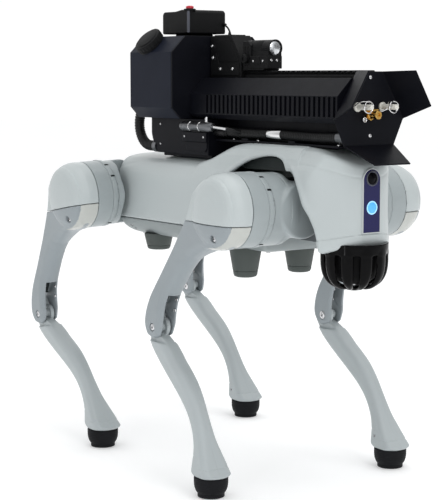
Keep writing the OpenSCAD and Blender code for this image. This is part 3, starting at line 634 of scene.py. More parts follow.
def top_shell_f(x, y, z):
    ay = np.abs(y)
    t = smax(trunk_f(x, y, z), x - 236, 0.6)
    hd = smax(head_f(x, y, z), 207 - x, 0.6)
    s = smin(t, hd, 3)
    # arch over each front hip with a rolled lip
    ar = arch(x, z)
    a = smax(ar, 40 - ay, 3)
    s = smax(s, -a, 2.5)
    s = s - 1.0 * np.exp(-((ar - 3.6) / 2.6) ** 2) * sig((ay - 50) * 0.7) * sig((z - 46) * 0.5) * sig((211 - x) * 0.4)
    s = smax(s, np.minimum(-36.1 - z, 1.0 * (236.6 - x)), 0.8)
    # hollow below, so the wall reads as a shell where it is open
    inner = smax(smax(sec(y, z), np.abs(x) - 174, 3) + 3.2, z - 46, 2)
    inner2 = smax(smax(hood_sec(y, z) + 4.2, hood_prof(x, z) + 4.2, 2), np.maximum(60 - x, x - 206), 1)
    inner3 = smax(smax(plan(x, y) + 4.4, head_prof(x, z) + 4.4, 2), head_sec(y, z) + 4.4, 2)
    inner3 = smax(inner3, ay - np.interp(z, [-48, -30, -5, 12, 80], [51, 54.6, 60.2, 66.6, 66.6]), 2)
    inner3 = smin(smax(inner3, 209 - x, 1), boxd(x, y, z, 200, 272, -48, 48, -60, 40), 1)
    s = smax(s, -inner, 1)
    s = smax(s, -inner2, 1)
    s = smax(s, -inner3, 0.8)
    # seat of the face window
    w = smin(boxd(x, y, z, 303.4, 312, -13.6, 13.6, -24.1, 41), cyl(y, z, 13.6, x, 303.4, 312, 0.01, 0, 41), 0.01)
    return smax(s, -w, 0.6)


def belly_f(x, y, z):
    s = smax(smax(sec(y, z), prof_end(x, z), 4.5), z + 36.9, 0.8)
    # small cover screws low on each flank
    for px, pz in ((-148, -47.5), (-141, -52), (148, -47.5)):
        s = np.maximum(s, -(np.hypot(x - px, z - pz) - 1.5 + 4 * (np.abs(y) < 58)))
    return s


V, Q, Nn = solid(top_shell_f, (-229, -71, -50), (309, 71, 81), 1.7)
o = make("top_shell_skin", V, Q, M["grey"], BODY, Nn)
place(o, "root", "cover_grey", "top_shell", "head_shell")
# the belly shell takes the darker belly grey: painted shade on the underside
V, Q, Nn = solid(belly_f, (-179, -71, -62), (178, 71, -36), 1.8)
o = make("belly_skin", V, Q, M["belly"], BODY, Nn)
place(o, "root", "cover_grey", "belly_shell")
# painted shade: a dark liner behind the arches and between the trunk and each hip, standing for the shade in these
# cavities
s = Shape()
for sg in (-1, 1):
    s.box(96, 210, min(sg * 8, sg * 41), max(sg * 8, sg * 41), 46, 64)
for e in (-1, 1):
    s.prism([(-62, -40), (-66, 0), (-64, 22), (-56, 38), (56, 38), (64, 22), (66, 0), (62, -40)], e * 171 if e > 0 else -175, 175 if e > 0 else -171, "x")
o = s.done("bay_painted_shade_liner", [M["arch"]], BODY, edge=1.5)
place(o, "root", "cover_grey")

# face window with its light frame, lens and lamp
s = Shape()
cap = [(13 * math.cos(a), 41 + 13 * math.sin(a)) for a in np.linspace(0, math.pi, 25)]
win = cap + [(-13, -23.5), (13, -23.5)]
s.prism(win, 303.4, 307.2, "x")
o = s.done("window_glass", [M["window"]], BODY, edge=0.7, seg=3)
place(o, "root", "window_navy", "face_window")
s = Shape()
outer = [(14.3 * math.cos(a), 41 + 14.3 * math.sin(a)) for a in np.linspace(0, math.pi, 25)] + [(-14.3, -23.5), (-14.3, -24.8), (14.3, -24.8), (14.3, -23.5)]
inner = [(13.2 * math.cos(a), 41 + 13.2 * math.sin(a)) for a in np.linspace(0, math.pi, 25)] + [(-13.2, -23.4), (-13.2, -23.5), (13.2, -23.5), (13.2, -23.4)]
n = len(outer)
v = [(x, *p) for x, l in ((303.0, outer), (307.0, outer), (307.0, inner), (303.0, inner)) for p in l]
f = []
for k in range(4):
    for i in range(n):
        j = (i + 1) % n
        f.append((k * n + i, k * n + j, ((k + 1) % 4) * n + j, ((k + 1) % 4) * n + i))
s.add(v, f)
o = s.done("window_frame", [M["frame_light"]], BODY, edge=0.4)
place(o, "root", "cover_grey")
s = Shape()
mx = lambda x, y, z: axis_m((1, 0, 0), (x, y, z))
s.lathe([(9.6, 0), (9.6, 1.1), (9.2, 1.6), (8.3, 1.7), (7.7, 1.2), (7.5, 0.4), (0, 0.4)], mx(306.6, 0, 43), 48, 1)
s.lathe([(7.5, 0), (7.2, 0.9), (6.2, 1.3), (5.9, 0.8), (5.2, 0.9), (3.5, 1.6), (1.8, 1.95), (0, 2.05)], mx(306.8, 0, 43), 48, 0)
o = s.done("lens_set", [M["lens"], M["ring"]], BODY)
place(o, "root", "lens_black", "camera_lens")
s = Shape()
s.lathe([(8.5, 0), (8.5, 0.7), (8.2, 1.15), (7.2, 1.2), (6.8, 0.9), (6.7, 0.3)], mx(306.6, 0, 7), 48, 1)
s.lathe([(6.9, 0), (6.8, 0.8), (5.8, 1.25), (3.8, 1.5), (0, 1.62)], mx(306.8, 0, 7), 48, 0)
o = s.done("lamp_set", [M["lamp"], M["lamp_rim"]], BODY)
place(o, "root", "lamp_blue", "head_lamp")

# lidar: dark dome behind rounded fingers
gp = poly(curve([(0, -98.6), (12, -98.2), (24, -95.5), (33.5, -89), (39.6, -79), (42.2, -66), (42.0, -38), (34.6, -38), (34.4, -66), (32.4, -77), (27.5, -86), (19, -91), (10, -92.4), (0, -92.8), (-10, -92.4), (-10, -98.3)], 5, (6, 7)))


def guard_f(x, y, z):
    r = np.hypot(x, y)
    b = gp(r, z)
    a = np.arctan2(y, x)
    k = np.round(a / (math.pi / 5)) * (math.pi / 5)
    t = np.abs(r * np.sin(a - k))
    slot = smax(t - np.clip(0.10 * (r - 12) + 0.3, 0.1, 2.6), np.maximum(14 - r, z + 50), 1.5)
    b = smax(b, -slot, 9)
    b = smin(b, smax(gp(r, z) + 0.6, -51.5 - z, 2), 3)
    # the front of the rim follows the head's rising edge, the rest stops below it
    return smax(b, z + 47.6 - np.clip((x + 6) * 0.36, 0, 9.5), 0.5)


V, Q, Nn = solid(guard_f, (-44, -44, -100), (44, 44, -37), 1.2)
o = make("guard_skin", V, Q, M["gloss"], BODY @ trans(275, 0, 0) @ rot("z", 0), Nn)
place(o, "root", "gloss_black", "lidar_guard")
s = Shape()
s.lathe([(0, -90.5), (10, -90), (20, -87), (28, -80), (31.5, -70), (32.6, -60), (32.8, -48), (0, -47.2)], trans(275, 0, 0), 64)
o = s.done("dome_skin", [M["dark_hole"]], BODY)
place(o, "root", "gloss_black", "lidar_dome")

# belly pads
s = Shape()
for sg in (-1, 1):
    s.lathe([(0, -97), (11.5, -96.9), (14.6, -95.8), (15.9, -93.4), (16.6, -88.6), (16.1, -88.2), (16.9, -87.6), (21.5, -60), (21.7, -57)], trans(107, sg * 45.5, 0), 56)
    s.lathe([(0, -80), (12.5, -79.9), (15.2, -79.2), (16.4, -77.4), (17.0, -74.6), (16.6, -74.2), (17.3, -73.8), (20.5, -60), (20.7, -57)], trans(-104, sg * 45.5, 0), 56)
o = s.done("pad_skins", [M["pad"]], BODY, sharp=50)
place(o, "root", "pad_grey", "belly_pads")
s = Shape()
for x in (-150, -60, 60, 150):
    for y in (-40, 40):
        screw(s, axis_m((0, 0, -1), (x, y, -60.0)), 3.0, 1.2)
for sg in (-1, 1):
    for px, pz in ((-148, -47.5), (-141, -52), (148, -47.5)):
        yy = float(np.interp(-pz, [36, 47.5, 56], [69, 65, 57.5])) - 0.9
        screw(s, axis_m((0, sg, -0.35), (px, sg * yy, pz)), 1.5, 0.7)
o = s.done("body_screw_heads", [M["steel"], M["dark_hole"]], BODY)
place(o, "root", "steel", "body_screws")

# ------------------------------------------------------------------ legs
arm = poly(curve([(-45.5, -12), (-42.5, -22), (-39, -34), (-36.8, -60), (-35.5, -90), (-34.3, -124), (-33.2, -159), (-31, -190), (-25, -212), (-16, -226), (-2, -231.8),
                  (10, -228.5), (16, -217), (12.5, -203), (4.5, -190), (-1.5, -176), (-4.5, -160), (-5.2, -141), (-5, -121), (-3, -101), (0.5, -85), (8, -70), (20.5, -50), (36, -32), (45, -16), (38, 6), (0, 12), (-38, 6)], 4))
XF = ([-240, -232, -217, -203, -190, -176, -160, -141, -121, -101, -85, -70, -50, -32, 0], [2, 6, 16, 12.5, 4.5, -1.5, -4.5, -5.2, -5, -3, 0.5, 8, 20.5, 36, 48])


can_prof = poly([(-60, -10.6), (47.6, -10.6), (48, -10.1), (48.2, -1), (47.9, 4), (46.8, 8.5), (45.4, 12.5), (43.8, 15.4), (42.6, 16.7), (42.3, 17.4), (42.2, 18.2), (41.0, 20.2), (38.0, 22.3), (33.5, 24.2), (27, 25.7), (19, 26.8), (10, 27.3), (0, 27.4), (-60, 27.4)])
S0, C0 = math.sin(math.radians(40)), math.cos(math.radians(40))


def lid(x, z):
    """Height above the parting plane between the cover and the frame."""
    return -x * S0 + z * C0 + 16.0


def thigh_all(x, y, z):
    r = np.hypot(x, z)
    body = can_prof(r, y)
    yo = np.interp(z, [-232, -190, -150, -100, -60, -30, 0], [15.8, 15.8, 15.2, 15.8, 17.4, 19.5, 20])
    yi = np.interp(z, [-232, -190, -150, -100, -60, -30, 0], [-13.4, -13.4, -12.2, -11.5, -12.5, -14, -14])
    a = arm(x, z)
    xf = np.interp(z, *XF)
    ch = (x - xf + (y - yo) * 1.0 + np.interp(z, [-232, -200, -160, -100, -60, -20], [4, 5, 8, 9.5, 9, 6])) * 0.7071
    ch2 = (x - xf - (y - yi) * 0.8 + 3) * 0.78
    arm3 = smax(smax(smax(a, y - yo, 3.5), yi - y, 4), smax(ch, ch2, 2), 5)
    b = smin(body, arm3, 3.0)
    # clear of the hip link's housing
    return smax(b, -cyl(x, z, 49.4, y, -60, -10.6, 0.4), 0.4)


def frame_f(x, y, z):
    b = thigh_all(x, y, z)
    b = smax(b, lid(x, z) + 0.35, 0.7)
    b = smin(b, cyl(x, z, 13.9, y, -24, -10, 0.3), 0.2)
    # crank chamber, rod channel and fork
    b = smax(b, -cyl(x, z, 29.5, y, -FG, FG, 0.4), 0.6)
    b = smax(b, -boxd(x, y, z, -31, -9, -FG, FG, -34, 20), 0.6)
    b = smax(b, -boxd(x, y, z, -31, -9, -2.6, 5.6, -200, 0), 0.6)
    b = smax(b, -boxd(x, y, z, -60, 60, -FG, FG, -252, -194, 4), 1.2)
    front = smax(poly_front(x, z), np.abs(y) - FG, 1)
    b = smax(b, -front, 1.6)
    # knee pin counterbores and the screw recess on the end cap
    b = smax(b, -cyl(x, z, 5.6, y, 13.2, 30, 0.2, 0, -THIGH), 0.5)
    b = smax(b, -cyl(x, z, 6.4, y, -30, -12.6, 0.2, 0, -THIGH), 0.5)
    b = smax(b, -cyl(x, z, 4.6, y, 18.5, 40, 0.2, SCX, SCZ), 1.0)
    # small dimple under the band
    b = smax(b, -(np.sqrt((x - 10) ** 2 + (y - 2) ** 2 + (z + 47.5) ** 2) - 3.2), 0.8)
    return b


SCX, SCZ = 28.5, -19.0
poly_front = poly(curve([(-9.2, -163), (-20, -163), (-20, -200), (44, -200), (44, -158), (4, -160)], 3, (0, 1, 2, 3)))


def cover_f(x, y, z):
    r = np.hypot(x, z)
    b = thigh_all(x, y, z)
    b = smax(b, 0.35 - lid(x, z), 0.7)
    return smax(b, -smax(r - 40.5, y - 10, 1), 0.5)


link_prof = poly([(-60, 1.5), (38, 1.5), (42.5, 6.5), (45.6, 11), (46.5, 15), (46.6, 19.5), (45.9, 20.0), (45.9, 20.9), (46.6, 21.4), (46.6, 46.0), (45.8, 46.4), (45.8, 47.2),
                  (47.4, 47.7), (48.2, 48.6), (48.2, 54.2), (47.3, 54.8), (47.0, 55.4), (47.3, 56.0), (48, 56.6), (48, 79.7), (47.5, 80.2), (-60, 80.2)])


def link_f(s):
    """Hip link; the neck reaches back toward the trunk on side s of x."""
    def f(x, y, z):
        b = link_prof(np.hypot(x, z), y)
        xx = x * s
        # the trunk's end is close behind the neck
        b = smax(b, np.minimum(-4.5 - xx, np.interp(np.abs(z), [0, 8, 16, 24, 32, 40, 48], [35.4, 36.2, 37.2, 37.6, 36.6, 33.6, 31.5]) - y), 2)
        neck = smax(np.hypot(y, z) - 36, np.maximum(-4.5 - xx, xx - 45), 4)
        neck = smax(neck, -35 - y, 3)
        b = smin(b, neck, 4)
        b = smax(b, -cyl(y, z, 8.1, xx, -6, 27, 0.2), 0.3)
        return smax(b, -cyl(x, z, 14.2, y, 66, 84, 0.2), 0.3)
    return f


calf_s = poly(curve([(-14, 8.5), (-21.5, 7), (-23.4, -6), (-22.6, -20), (-19, -36), (-11, -62), (-1.5, -92), (3.8, -115), (5.6, -135), (3.0, -157), (-3.4, -176), (-12.5, -191), (-18.6, -201), (-20.8, -209), (-20.8, -232), (20.8, -232), (20.9, -209),
                     (21.4, -195), (23.3, -174), (26, -156), (28.6, -135), (29.6, -116), (27.2, -92), (20.5, -68), (17.2, -58), (13.2, -41), (9, -28), (3.5, -17), (-6, -3)], 4))
calf_p = poly(curve([(-11.5, 22), (-12.4, -20), (-12.8, -62), (-12.4, -92), (-11.4, -120), (-11.4, -145), (-13.4, -170), (-17.4, -191), (-20.4, -209), (-20.6, -232),
                     (20.6, -232), (20.4, -209), (17.4, -191), (13.4, -170), (11.4, -145), (11.4, -120), (12.4, -92), (12.8, -62), (12.4, -20), (11.5, 22)], 3, (0, 9, 10, 19)))
sweep = poly([(-60, -2), (-30, -2.5), (-19, -9.5), (-8.5, -18), (2, -24.5), (10, -30), (22, -41), (60, -41), (60, 60), (-60, 60)])
seam_a = line([(-30, -171), (2, -171)])
seam_b = line([(13, -181), (30, -181)])
MID = -102.0


def level(i):
    """Direction of the ground's normal seen from the calf of leg i in the stance."""
    return knee_m(i)[:3, :3].T @ np.array([0, 0, 1.0])


def calf_of(i):
    dn = level(i)
    return lambda x, y, z: calf_f(x, y, z, x * dn[0] + y * dn[1] + (z + 216) * dn[2])


def calf_f(x, y, z, up):
    b = smax(calf_s(x, z), calf_p(y, z), 9)
    # ridge down the front quarter
    fx = np.interp(z, [-209, -174, -135, -116, -92, -62, -41, -17], [20.9, 23.3, 28.6, 29.6, 27.2, 18.5, 13.2, 3.5])
    rd = np.hypot(x - (fx - 9.5), y - 9.5)
    b = b - 0.9 * np.exp(-(rd / 3.2) ** 2) * np.clip((-20 - z) / 20, 0, 1) * np.clip((z + 120) / 40, 0, 1)
    cut = smax(sweep(x, z), 7.2 - np.abs(y), 2.2)
    b = smax(b, -cut, 1.6)
    b = smin(b, cyl(x, z, 12, y, -7, -1.4, 0.5), 0.6)
    b = smin(b, cyl(x, z, 6, y, -1.6, 7, 0.3), 0.3)
    # lever behind the knee
    c, n = math.cos(math.radians(MID)), math.sin(math.radians(MID))
    u = x * math.cos(math.radians(-MID)) - z * math.sin(math.radians(-MID))
    w = x * math.sin(math.radians(-MID)) + z * math.cos(math.radians(-MID))
    b = smin(b, smax(boxd(u, y, w, -23, 0, -6.9, -1.5, -4.4, 4.4), -60 - u, 0.1), 0.8)
    b = smin(b, cyl(u, w, 4.6, y, -6.9, -1.5, 0.4, -23, 0), 0.4)
    b = smin(b, cyl(u, w, 2.2, y, -2, 4.6, 0.2, -23, 0), 0.2)
    b = smax(b, -(np.hypot(x, z) - 4.05), 0.1)
    b = b + groove(up - 28.5, 0.55, 0.75) * (np.abs(y) > 2) * (x < 9) + groove(up - 16, 0.5, 0.75) * (x > 9)
    b = b + groove(np.abs(y) * 1.0 + 1.5 * np.clip(-95 - z, -40, 0) * 0, 0.45, 0.7) * (x > fx - 8) * (z < -62)
    b = smax(b, -(np.sqrt((x - 2) ** 2 + (z + 192) ** 2) - 1.9 + 6 * (y > -8)), 0.2)
    # the flare ends as wide as the foot
    q = np.sqrt(np.maximum(x * x + y * y + (z + 216) ** 2 - up * up, 0))
    b = smax(b, q - 22.7 - 1.35 * np.clip(up - 4.5, 0, 400), 3)
    return smax(b, 4.5 - up, 0.6)


def foot_f(i):
    dn = level(i)

    def f(x, y, z):
        w = x * dn[0] + y * dn[1] + z * dn[2]          # height along the ground's normal
        q = np.sqrt(np.maximum(x * x + y * y + z * z - w * w, 0))
        p = 2.8
        d = ((np.abs(q / 22.3) ** p + np.abs(np.minimum(w, 0) / 21.95) ** p) ** (1 / p) - 1) * 22
        d = smax(d, w - 3.9, 0.8)
        d = smin(d, smax(q - 17.5, w - 6.5, 0.5), 0.2)
        g = 0.34 * (0.5 + 0.5 * np.cos(2 * math.pi * w / 2.7)) * np.clip((w + 14) / 3, 0, 1) * np.clip((4 - w) / 1.5, 0, 1)
        return smax(d + g, -21.9 - w, 0.6)
    return f


TF = solid(frame_f, (-50, -25, -234), (50, 29, 23), 1.5)
TC = solid(cover_f, (-50, -12, -52), (50, 29, 50), 1.6)
LF = {s_: solid(link_f(s_), (-60, -36, -52), (60, 82, 52), 1.5) for s_ in (1, -1)}
for i, L in enumerate(LEGS):
    V, Q, Nn = TF
    # the lower half of the round band is a smoother, paler alloy than the arm
    cen = V[Q].mean(1)
    rr = np.hypot(cen[:, 0], cen[:, 2])
    fmat = ((rr > 42) & (cen[:, 1] > -10.3) & (cen[:, 1] < 15.8) & (rr < 48.7) & (lid(cen[:, 0], cen[:, 2]) < -0.4) & (cen[:, 0] > -8)).astype(int)
    # faces inside the knee fork take the arch dark: painted shade between the fork's cheeks
    fmat[(np.abs(cen[:, 1]) < FG - 1.2) & (cen[:, 2] < -150) & (arm(cen[:, 0], cen[:, 2]) < -2.2)] = 2
    # the arm takes the alloy grey, darker in part as painted shade on its side faces
    o = make("thigh_skin_" + L, V, Q, [M["alloy"], M["band"], M["arch"]], thigh_m(i), Nn, face_mat=fmat)
    place(o, "thigh_" + L, "alloy_grey", "thigh_frame_" + L)
    V, Q, Nn = TC
    o = make("cover_skin_" + L, V, Q, M["grey"], thigh_m(i), Nn)
    place(o, "thigh_" + L, "cover_grey", "thigh_cover_" + L)
    V, Q, Nn = LF[sx(i)]
    o = make("link_skin_" + L, V, Q, M["link"], hip_m(i), Nn)
    place(o, "hip_" + L, "alloy_grey", "hip_link_" + L)
    V, Q, Nn = solid(calf_of(i), (-32, -23, -226), (32, 23, 32), 1.5)
    o = make("calf_skin_" + L, V, Q, M["calf"], knee_m(i), Nn)
    place(o, "calf_" + L, "alloy_grey", "calf_" + L)
    V, Q, Nn = solid(foot_f(i), (-26, -25, -26), (26, 25, 17), 1.0)
    o = make("foot_skin_" + L, V, Q, M["rubber"], knee_m(i) @ trans(0, 0, -216), Nn)
    place(o, "calf_" + L, "rubber_black", "foot_" + L)
    # pins, screws and bolts of the thigh
    s = Shape()
    s.lathe([(4, -13), (4, 13)], axis_m((0, 1, 0), (0, 0, -THIGH)), 32)
    screw(s, axis_m((0, 1, 0), (0, 13.4, -THIGH)), 4.8, 2.0)
    screw(s, axis_m((0, -1, 0), (0, -12.8, -THIGH)), 5.6, 1.2)
    s.lathe([(5, -8.4), (5, 12.8)], axis_m((0, 1, 0), (0, 0, 0)), 32)
    screw(s, axis_m((0, 1, 0), (SCX, 18.4, SCZ)), 4.0, 3.0)
    screw(s, axis_m((0.1, 0, -1), (10, 2, -45.3)), 2.2, 1.2)
    for zz, xx in ((-172, -1), (-186, 5)):
        screw(s, axis_m((0, 1, 0), (xx - 6, -8.4, zz)), 2.6, 1.4)
    o = s.done("leg_fasteners_" + L, [M["chrome"], M["dark_hole"]], thigh_m(i))
    place(o, "thigh_" + L, "steel", "leg_pins_" + L)
    # calf screw above the foot
    s = Shape()
    screw(s, axis_m((0, -1, 0.0), (2, -16.2, -192)), 1.8, 1.0)
    o = s.done("calf_screw_" + L, [M["steel"], M["dark_hole"]], knee_m(i))
    place(o, "calf_" + L, "steel")
    # small clips round the hip link
    s = Shape()
    for a in (35, 62, 100, 150, 215, 300):
        m_ = rot("y", -a) @ trans(46.9, 51.0, 0)
        s.prism([(-1.4, -3.0), (1.4, -3.0), (1.4, 0.8), (0.4, 3.0), (-1.4, 3.0)], 0, 1.7, "x", m_ @ rot("x", 90))
    o = s.done("link_clips_" + L, [M["dark_hole"]], hip_m(i), edge=0.3)
    place(o, "hip_" + L, "steel")
    # roll bearing flange and bolts that show in the hip bay
    s = Shape()
    s.lathe([(20, 0), (20, 3.5), (17, 4.5), (12, 4.5), (12, 1), (0, 1)], axis_m((-sx(i), 0, 0), (-4.5 * sx(i), 0, 0)) @ trans(0, 0, -1.2), 40)
    for a in range(0, 360, 60):
        screw(s, axis_m((-sx(i), 0, 0), (-4.5 * sx(i) - 3.2 * sx(i), 15 * math.cos(math.radians(a)), 15 * math.sin(math.radians(a)))), 1.8, 1.0, 1, 2)
    o = s.done("roll_flange_" + L, [M["dull"], M["chrome"], M["dark_hole"]], hip_m(i))
    place(o, "hip_" + L, "steel")
# ------------------------------------------------------------------ payload
def payload(s, name, mats, slot, nodes=(), edge=0.8, **k):
    o = s.done(name, mats, BODY, edge=edge, **k)
    return place(o, "root", slot, *nodes)


s = Shape()
s.box(30, 290, -40, 40, 80, 83)
s.box(30, 60, -24, 24, 83, 109.9)
s.box(250, 280, -24, 24, 83, 109.9)
for y in (-24, 22): s.box(58, 252, y, y + 2, 83, 109.9)
for x in (120, 180): s.box(x, x + 6, -12, 12, 78.3, 80.2)
for x in (90, 190): s.box(x, x + 14, -40, 40, 83, 85.5)
payload(s, "base_skin", [M["coat"]], "coat_black", ("payload_base",), 0.6)

s = Shape()
s.prism([(-112, 109), (-112, 87), (-109.5, 79), (-101, 66), (-94.5, 59.8), (30, 59.8), (30, 109)], -52, 52, "y")
s.prism([(-92, 60.5), (-92, 55.6), (28, 55.6), (28, 60.5)], -44, 44, "y")
for sg in (-1, 1):
    y0, y1 = sorted((sg * 51.5, sg * 55.6))
    s.box(-28, 30, y0, y1, 78, 91.4)
    s.prism([(-26, 78.2), (-20, 66), (24, 64), (29, 70), (29, 78.2)], *sorted((sg * 51.5, sg * 53.6)), "y")
payload(s, "block_skin", [M["coat"]], "coat_black", ("payload_block",), 1.2)

# reservoir housing: octagonal case with a slightly proud front rim
T8 = lambda o: [(-79 + o, 124), (-79 + o, 200), (-57 + o / 2, 222 - o), (57 - o / 2, 222 - o), (79 - o, 200), (79 - o, 124), (65 - o / 2, 109 + o), (-65 + o / 2, 109 + o)]
s = Shape()
s.prism(T8(0.0), -125, -20.2, "x", mat=0)
s.prism(T8(0.9), -20.4, -19.4, "x", mat=1)
s.prism(T8(0.0), -19.6, -17, "x", mat=1)
o = s.done("reservoir_skin", [M["coat_side"], M["coat"]], BODY, edge=1.2, seg=3)
place(o, "root", "coat_black", "reservoir_shell")

# cap on the sloping face
cm = trans(-85, -68, 211) @ rot("x", 45) @ np.diag([1.105, 1.105, 1.0, 1.0])
s = Shape()
s.lathe([(17.8, 0), (18.6, 0.8), (18.6, 2.2), (17.6, 2.8), (17.6, 3.4)], cm, 72, 0)
prof = [(18.9, 3.0), (19, 9.6), (18.3, 10.9), (16.6, 11.2), (15.6, 11.4), (15.0, 12.6), (14.0, 13.0), (0, 13.0)]
n = 96
v, f = [], []
for (r, z) in prof[:-1]:
    for k in range(n):
        a = 2 * math.pi * k / n
        g = 0.75 * (0.5 + 0.5 * math.cos(24 * a)) if z < 10 else 0
        v.append(((r - g) * math.cos(a), (r - g) * math.sin(a), z))
v.append((0, 0, 13.0))
for q in range(len(prof) - 2):
    for k in range(n):
        f.append((q * n + k, q * n + (k + 1) % n, (q + 1) * n + (k + 1) % n, (q + 1) * n + k))
for k in range(n): f.append(((len(prof) - 2) * n + k, (len(prof) - 2) * n + (k + 1) % n, len(v) - 1))
f.append(tuple(range(n - 1, -1, -1)))
s.add(v, f, cm)
o = s.done("cap_skin", [M["matt"]], BODY, sharp=30)
place(o, "root", "matt_black", "reservoir_cap")

# ribbed shroud
s = Shape()
sec8 = [(-44, 110), (-50, 116.2), (-50, 117.6), (-47.6, 118.6), (-47.6, 141.4), (-50, 142.4), (-50, 143), (-28, 165), (28, 165), (50, 143), (50, 142.4), (47.6, 141.4), (47.6, 118.6), (50, 117.6), (50, 116.2), (44, 110)]
s.prism(sec8, -17, 299, "x")
for sg in (-1, 1):
    y0, y1 = sorted((sg * 47.0, sg * 50))
    s.box(-17, 22.4, y0, y1, 117.4, 142.6)
    for k in range(28):
        s.box(26.8 + k * 9.6, 32.0 + k * 9.6, y0, y1, 117.4, 142.6)
    s.box(26.8 + 28 * 9.6, 299, y0, y1, 117.4, 142.6)
o = s.done("shroud_skin", [M["coat"]], BODY, edge=0.9, seg=2)
place(o, "root", "coat_black", "barrel_shroud")
s = Shape()
# rear block with its sloping front edge and side covers
s.prism([(-15, 165), (56, 165), (56, 190), (33, 222), (-15, 222)], -16, 16, "y")
s.prism([(-13, 199), (0, 199), (6, 184), (52, 184), (52, 168), (-13, 168)], -17.2, 17.2, "y")
s.prism([(4, 187), (50.5, 187), (50.5, 189), (30.5, 217), (4, 217)], -16.8, 16.8, "y")
s.box(-12, 28, -12, 12, 222, 223.2)
payload(s, "rear_block", [M["matt"]], "coat_black", (), 1.0)

# accessory rail
s = Shape()
s.prism([(-10.6, 165), (-10.6, 168), (-8, 170), (-9.6, 171.6), (9.6, 171.6), (8, 170), (10.6, 168), (10.6, 165)], 56, 299, "x")
tooth = [(-9.8, 171.4), (-10.6, 172.5), (-8.5, 174.5), (8.5, 174.5), (10.6, 172.5), (9.8, 171.4)]
s.prism(tooth, 56, 128, "x")
for k in range(16):
    s.prism(tooth, 133.2 + k * 10.4, min(138.4 + k * 10.4, 299), "x")
s.prism(tooth, 133.2 + 15 * 10.4, 299, "x")
payload(s, "rail_skin", [M["matt"]], "coat_black", ("top_rail",), 0.5)

# rail lamp
s = Shape()
s.prism([(56.3, 174.6), (74, 174.6), (74, 208), (68, 213.5), (56.3, 213.5)], -13.5, 13.5, "y")
s.box(72, 110, -11.2, 11.2, 178, 200)
s.box(72, 112, -13.6, 10.4, 177, 194)
s.prism([(74, 174.6), (102, 174.6), (104, 180), (72, 180)], -13, 13, "y")
s.prism([(84, 183), (97, 183), (93, 193), (86, 193)], -14.6, 12.4, "y", mat=0)
for x in (58.5, 64.5): s.box(x, x + 3.4, -14.3, 14.3, 181, 207)
payload(s, "lamp_body_skin", [M["matt"]], "matt_black", ("rail_lamp",), 0.8)
s = Shape()
mxx = lambda x, y, z: axis_m((1, 0, 0), (x, y, z))
s.lathe([(11, 0), (11, 10), (10.5, 10.5), (10.5, 12), (11, 12.5), (11, 36), (10.6, 36.6), (10.6, 38), (11, 38.6), (11, 52), (11.3, 52.8), (11.3, 54.4), (10.6, 55), (10.0, 55), (9.5, 54.2), (9.5, 52)], mxx(57, 0, 204), 56, 0)
s.lathe([(9.6, 51.4), (9.4, 53.2), (7.4, 54.2), (3.5, 54.8), (0, 54.9)], mxx(57, 0, 204), 48, 1)
s.lathe([(6.2, 0), (6.2, 4.4), (5.4, 5.4), (3.0, 5.6), (3.0, 4.6), (0, 4.6)], axis_m((0, -1, 0), (65, -13.5, 190)), 32, 0)
s.lathe([(6.2, 0), (6.2, 4.4), (5.4, 5.4), (3.0, 5.6), (3.0, 4.6), (0, 4.6)], axis_m((0, 1, 0), (65, 13.5, 190)), 32, 0)
for y in (-8, 1): screw(s, mxx(112, y, 188), 1.9, 1.2, 2, 3)
for x in (80, 101): screw(s, axis_m((0, -1, 0), (x, -13.6, 187)), 1.6, 0.9, 2, 3)
o = s.done("lamp_head", [M["matt"], M["glass"], M["chrome"], M["dark_hole"]], BODY)
place(o, "root", "matt_black")

# power pod with a lighter grey strip down its near front corner, and its button
s = Shape()
s.prism([(-113, 226), (-47, 226), (-47, 255.5), (-50.5, 259), (-66, 259.3), (-82, 257.2), (-109.5, 257.2), (-113, 254)], -32, 32, "y")
s.box(-98, -60, -20, 20, 222, 226.4)
payload(s, "pod_skin", [M["matt"]], "matt_black", ("power_pod",), 2.2, seg=3)
s = Shape()
s.prism([(-49.6, -32.5), (-48.2, -32.5), (-46.5, -30.8), (-46.5, -29.4), (-49.6, -29.4)], 227.5, 257.5, "z")
payload(s, "pod_corner", [M["ring"]], "matt_black", (), 0.3)
s = Shape()
s.lathe([(4.4, 254), (4.4, 260.6), (5.4, 260.9), (5.7, 262.2), (5.2, 263.6), (3.6, 264.4), (0, 264.7)], trans(-52, -26, 0), 36)
o = s.done("button_skin", [M["red"]], BODY)
place(o, "button", "red", "pod_button")
s = Shape()
s.lathe([(8.4, 258.0), (8.4, 259.7), (7.6, 260.3), (4.8, 260.3), (4.75, 256)], trans(-52, -26, 0), 40)
o = s.done("button_collar", [M["matt"]], BODY)
place(o, "root", "matt_black")

# folded front plate
s = Shape()
t_ = 2.0
A, B_, C_, D_ = (20, 173), (55, 115), (40, 83), (28, 62)
v, f = [], []
P3 = {"tl": (300, -20, 173), "tr": (300, 20, 173), "r": (300, 55, 115), "br": (300, 40, 83), "bl": (300, -40, 83), "l": (300, -55, 115),
      "wr1": (342.2, 37.3, 174.2), "wr2": (342.2, 63.4, 130.8), "wl1": (342.2, -37.3, 174.2), "wl2": (342.2, -63.4, 130.8), "lp1": (344.4, 28.5, 61.6), "lp2": (344.4, -28.5, 61.6)}
keys = list(P3)
v = [P3[k] for k in keys]
ix = {k: i for i, k in enumerate(keys)}
f = [[ix[k] for k in q] for q in (("l", "bl", "br", "r", "tr", "tl"), ("tr", "r", "wr2", "wr1"), ("tl", "wl1", "wl2", "l"), ("bl", "lp2", "lp1", "br"))]
o = make("front_plate_skin", v, [tuple(q) for q in f], M["coat"], BODY, smooth=True)
so = o.modifiers.new("sheet", "SOLIDIFY")
so.thickness = t_ / 1000
so.offset = 0
so.use_even_offset = True
bevel(o, 0.7, 2, 12)
place(o, "root", "coat_black", "front_shroud")

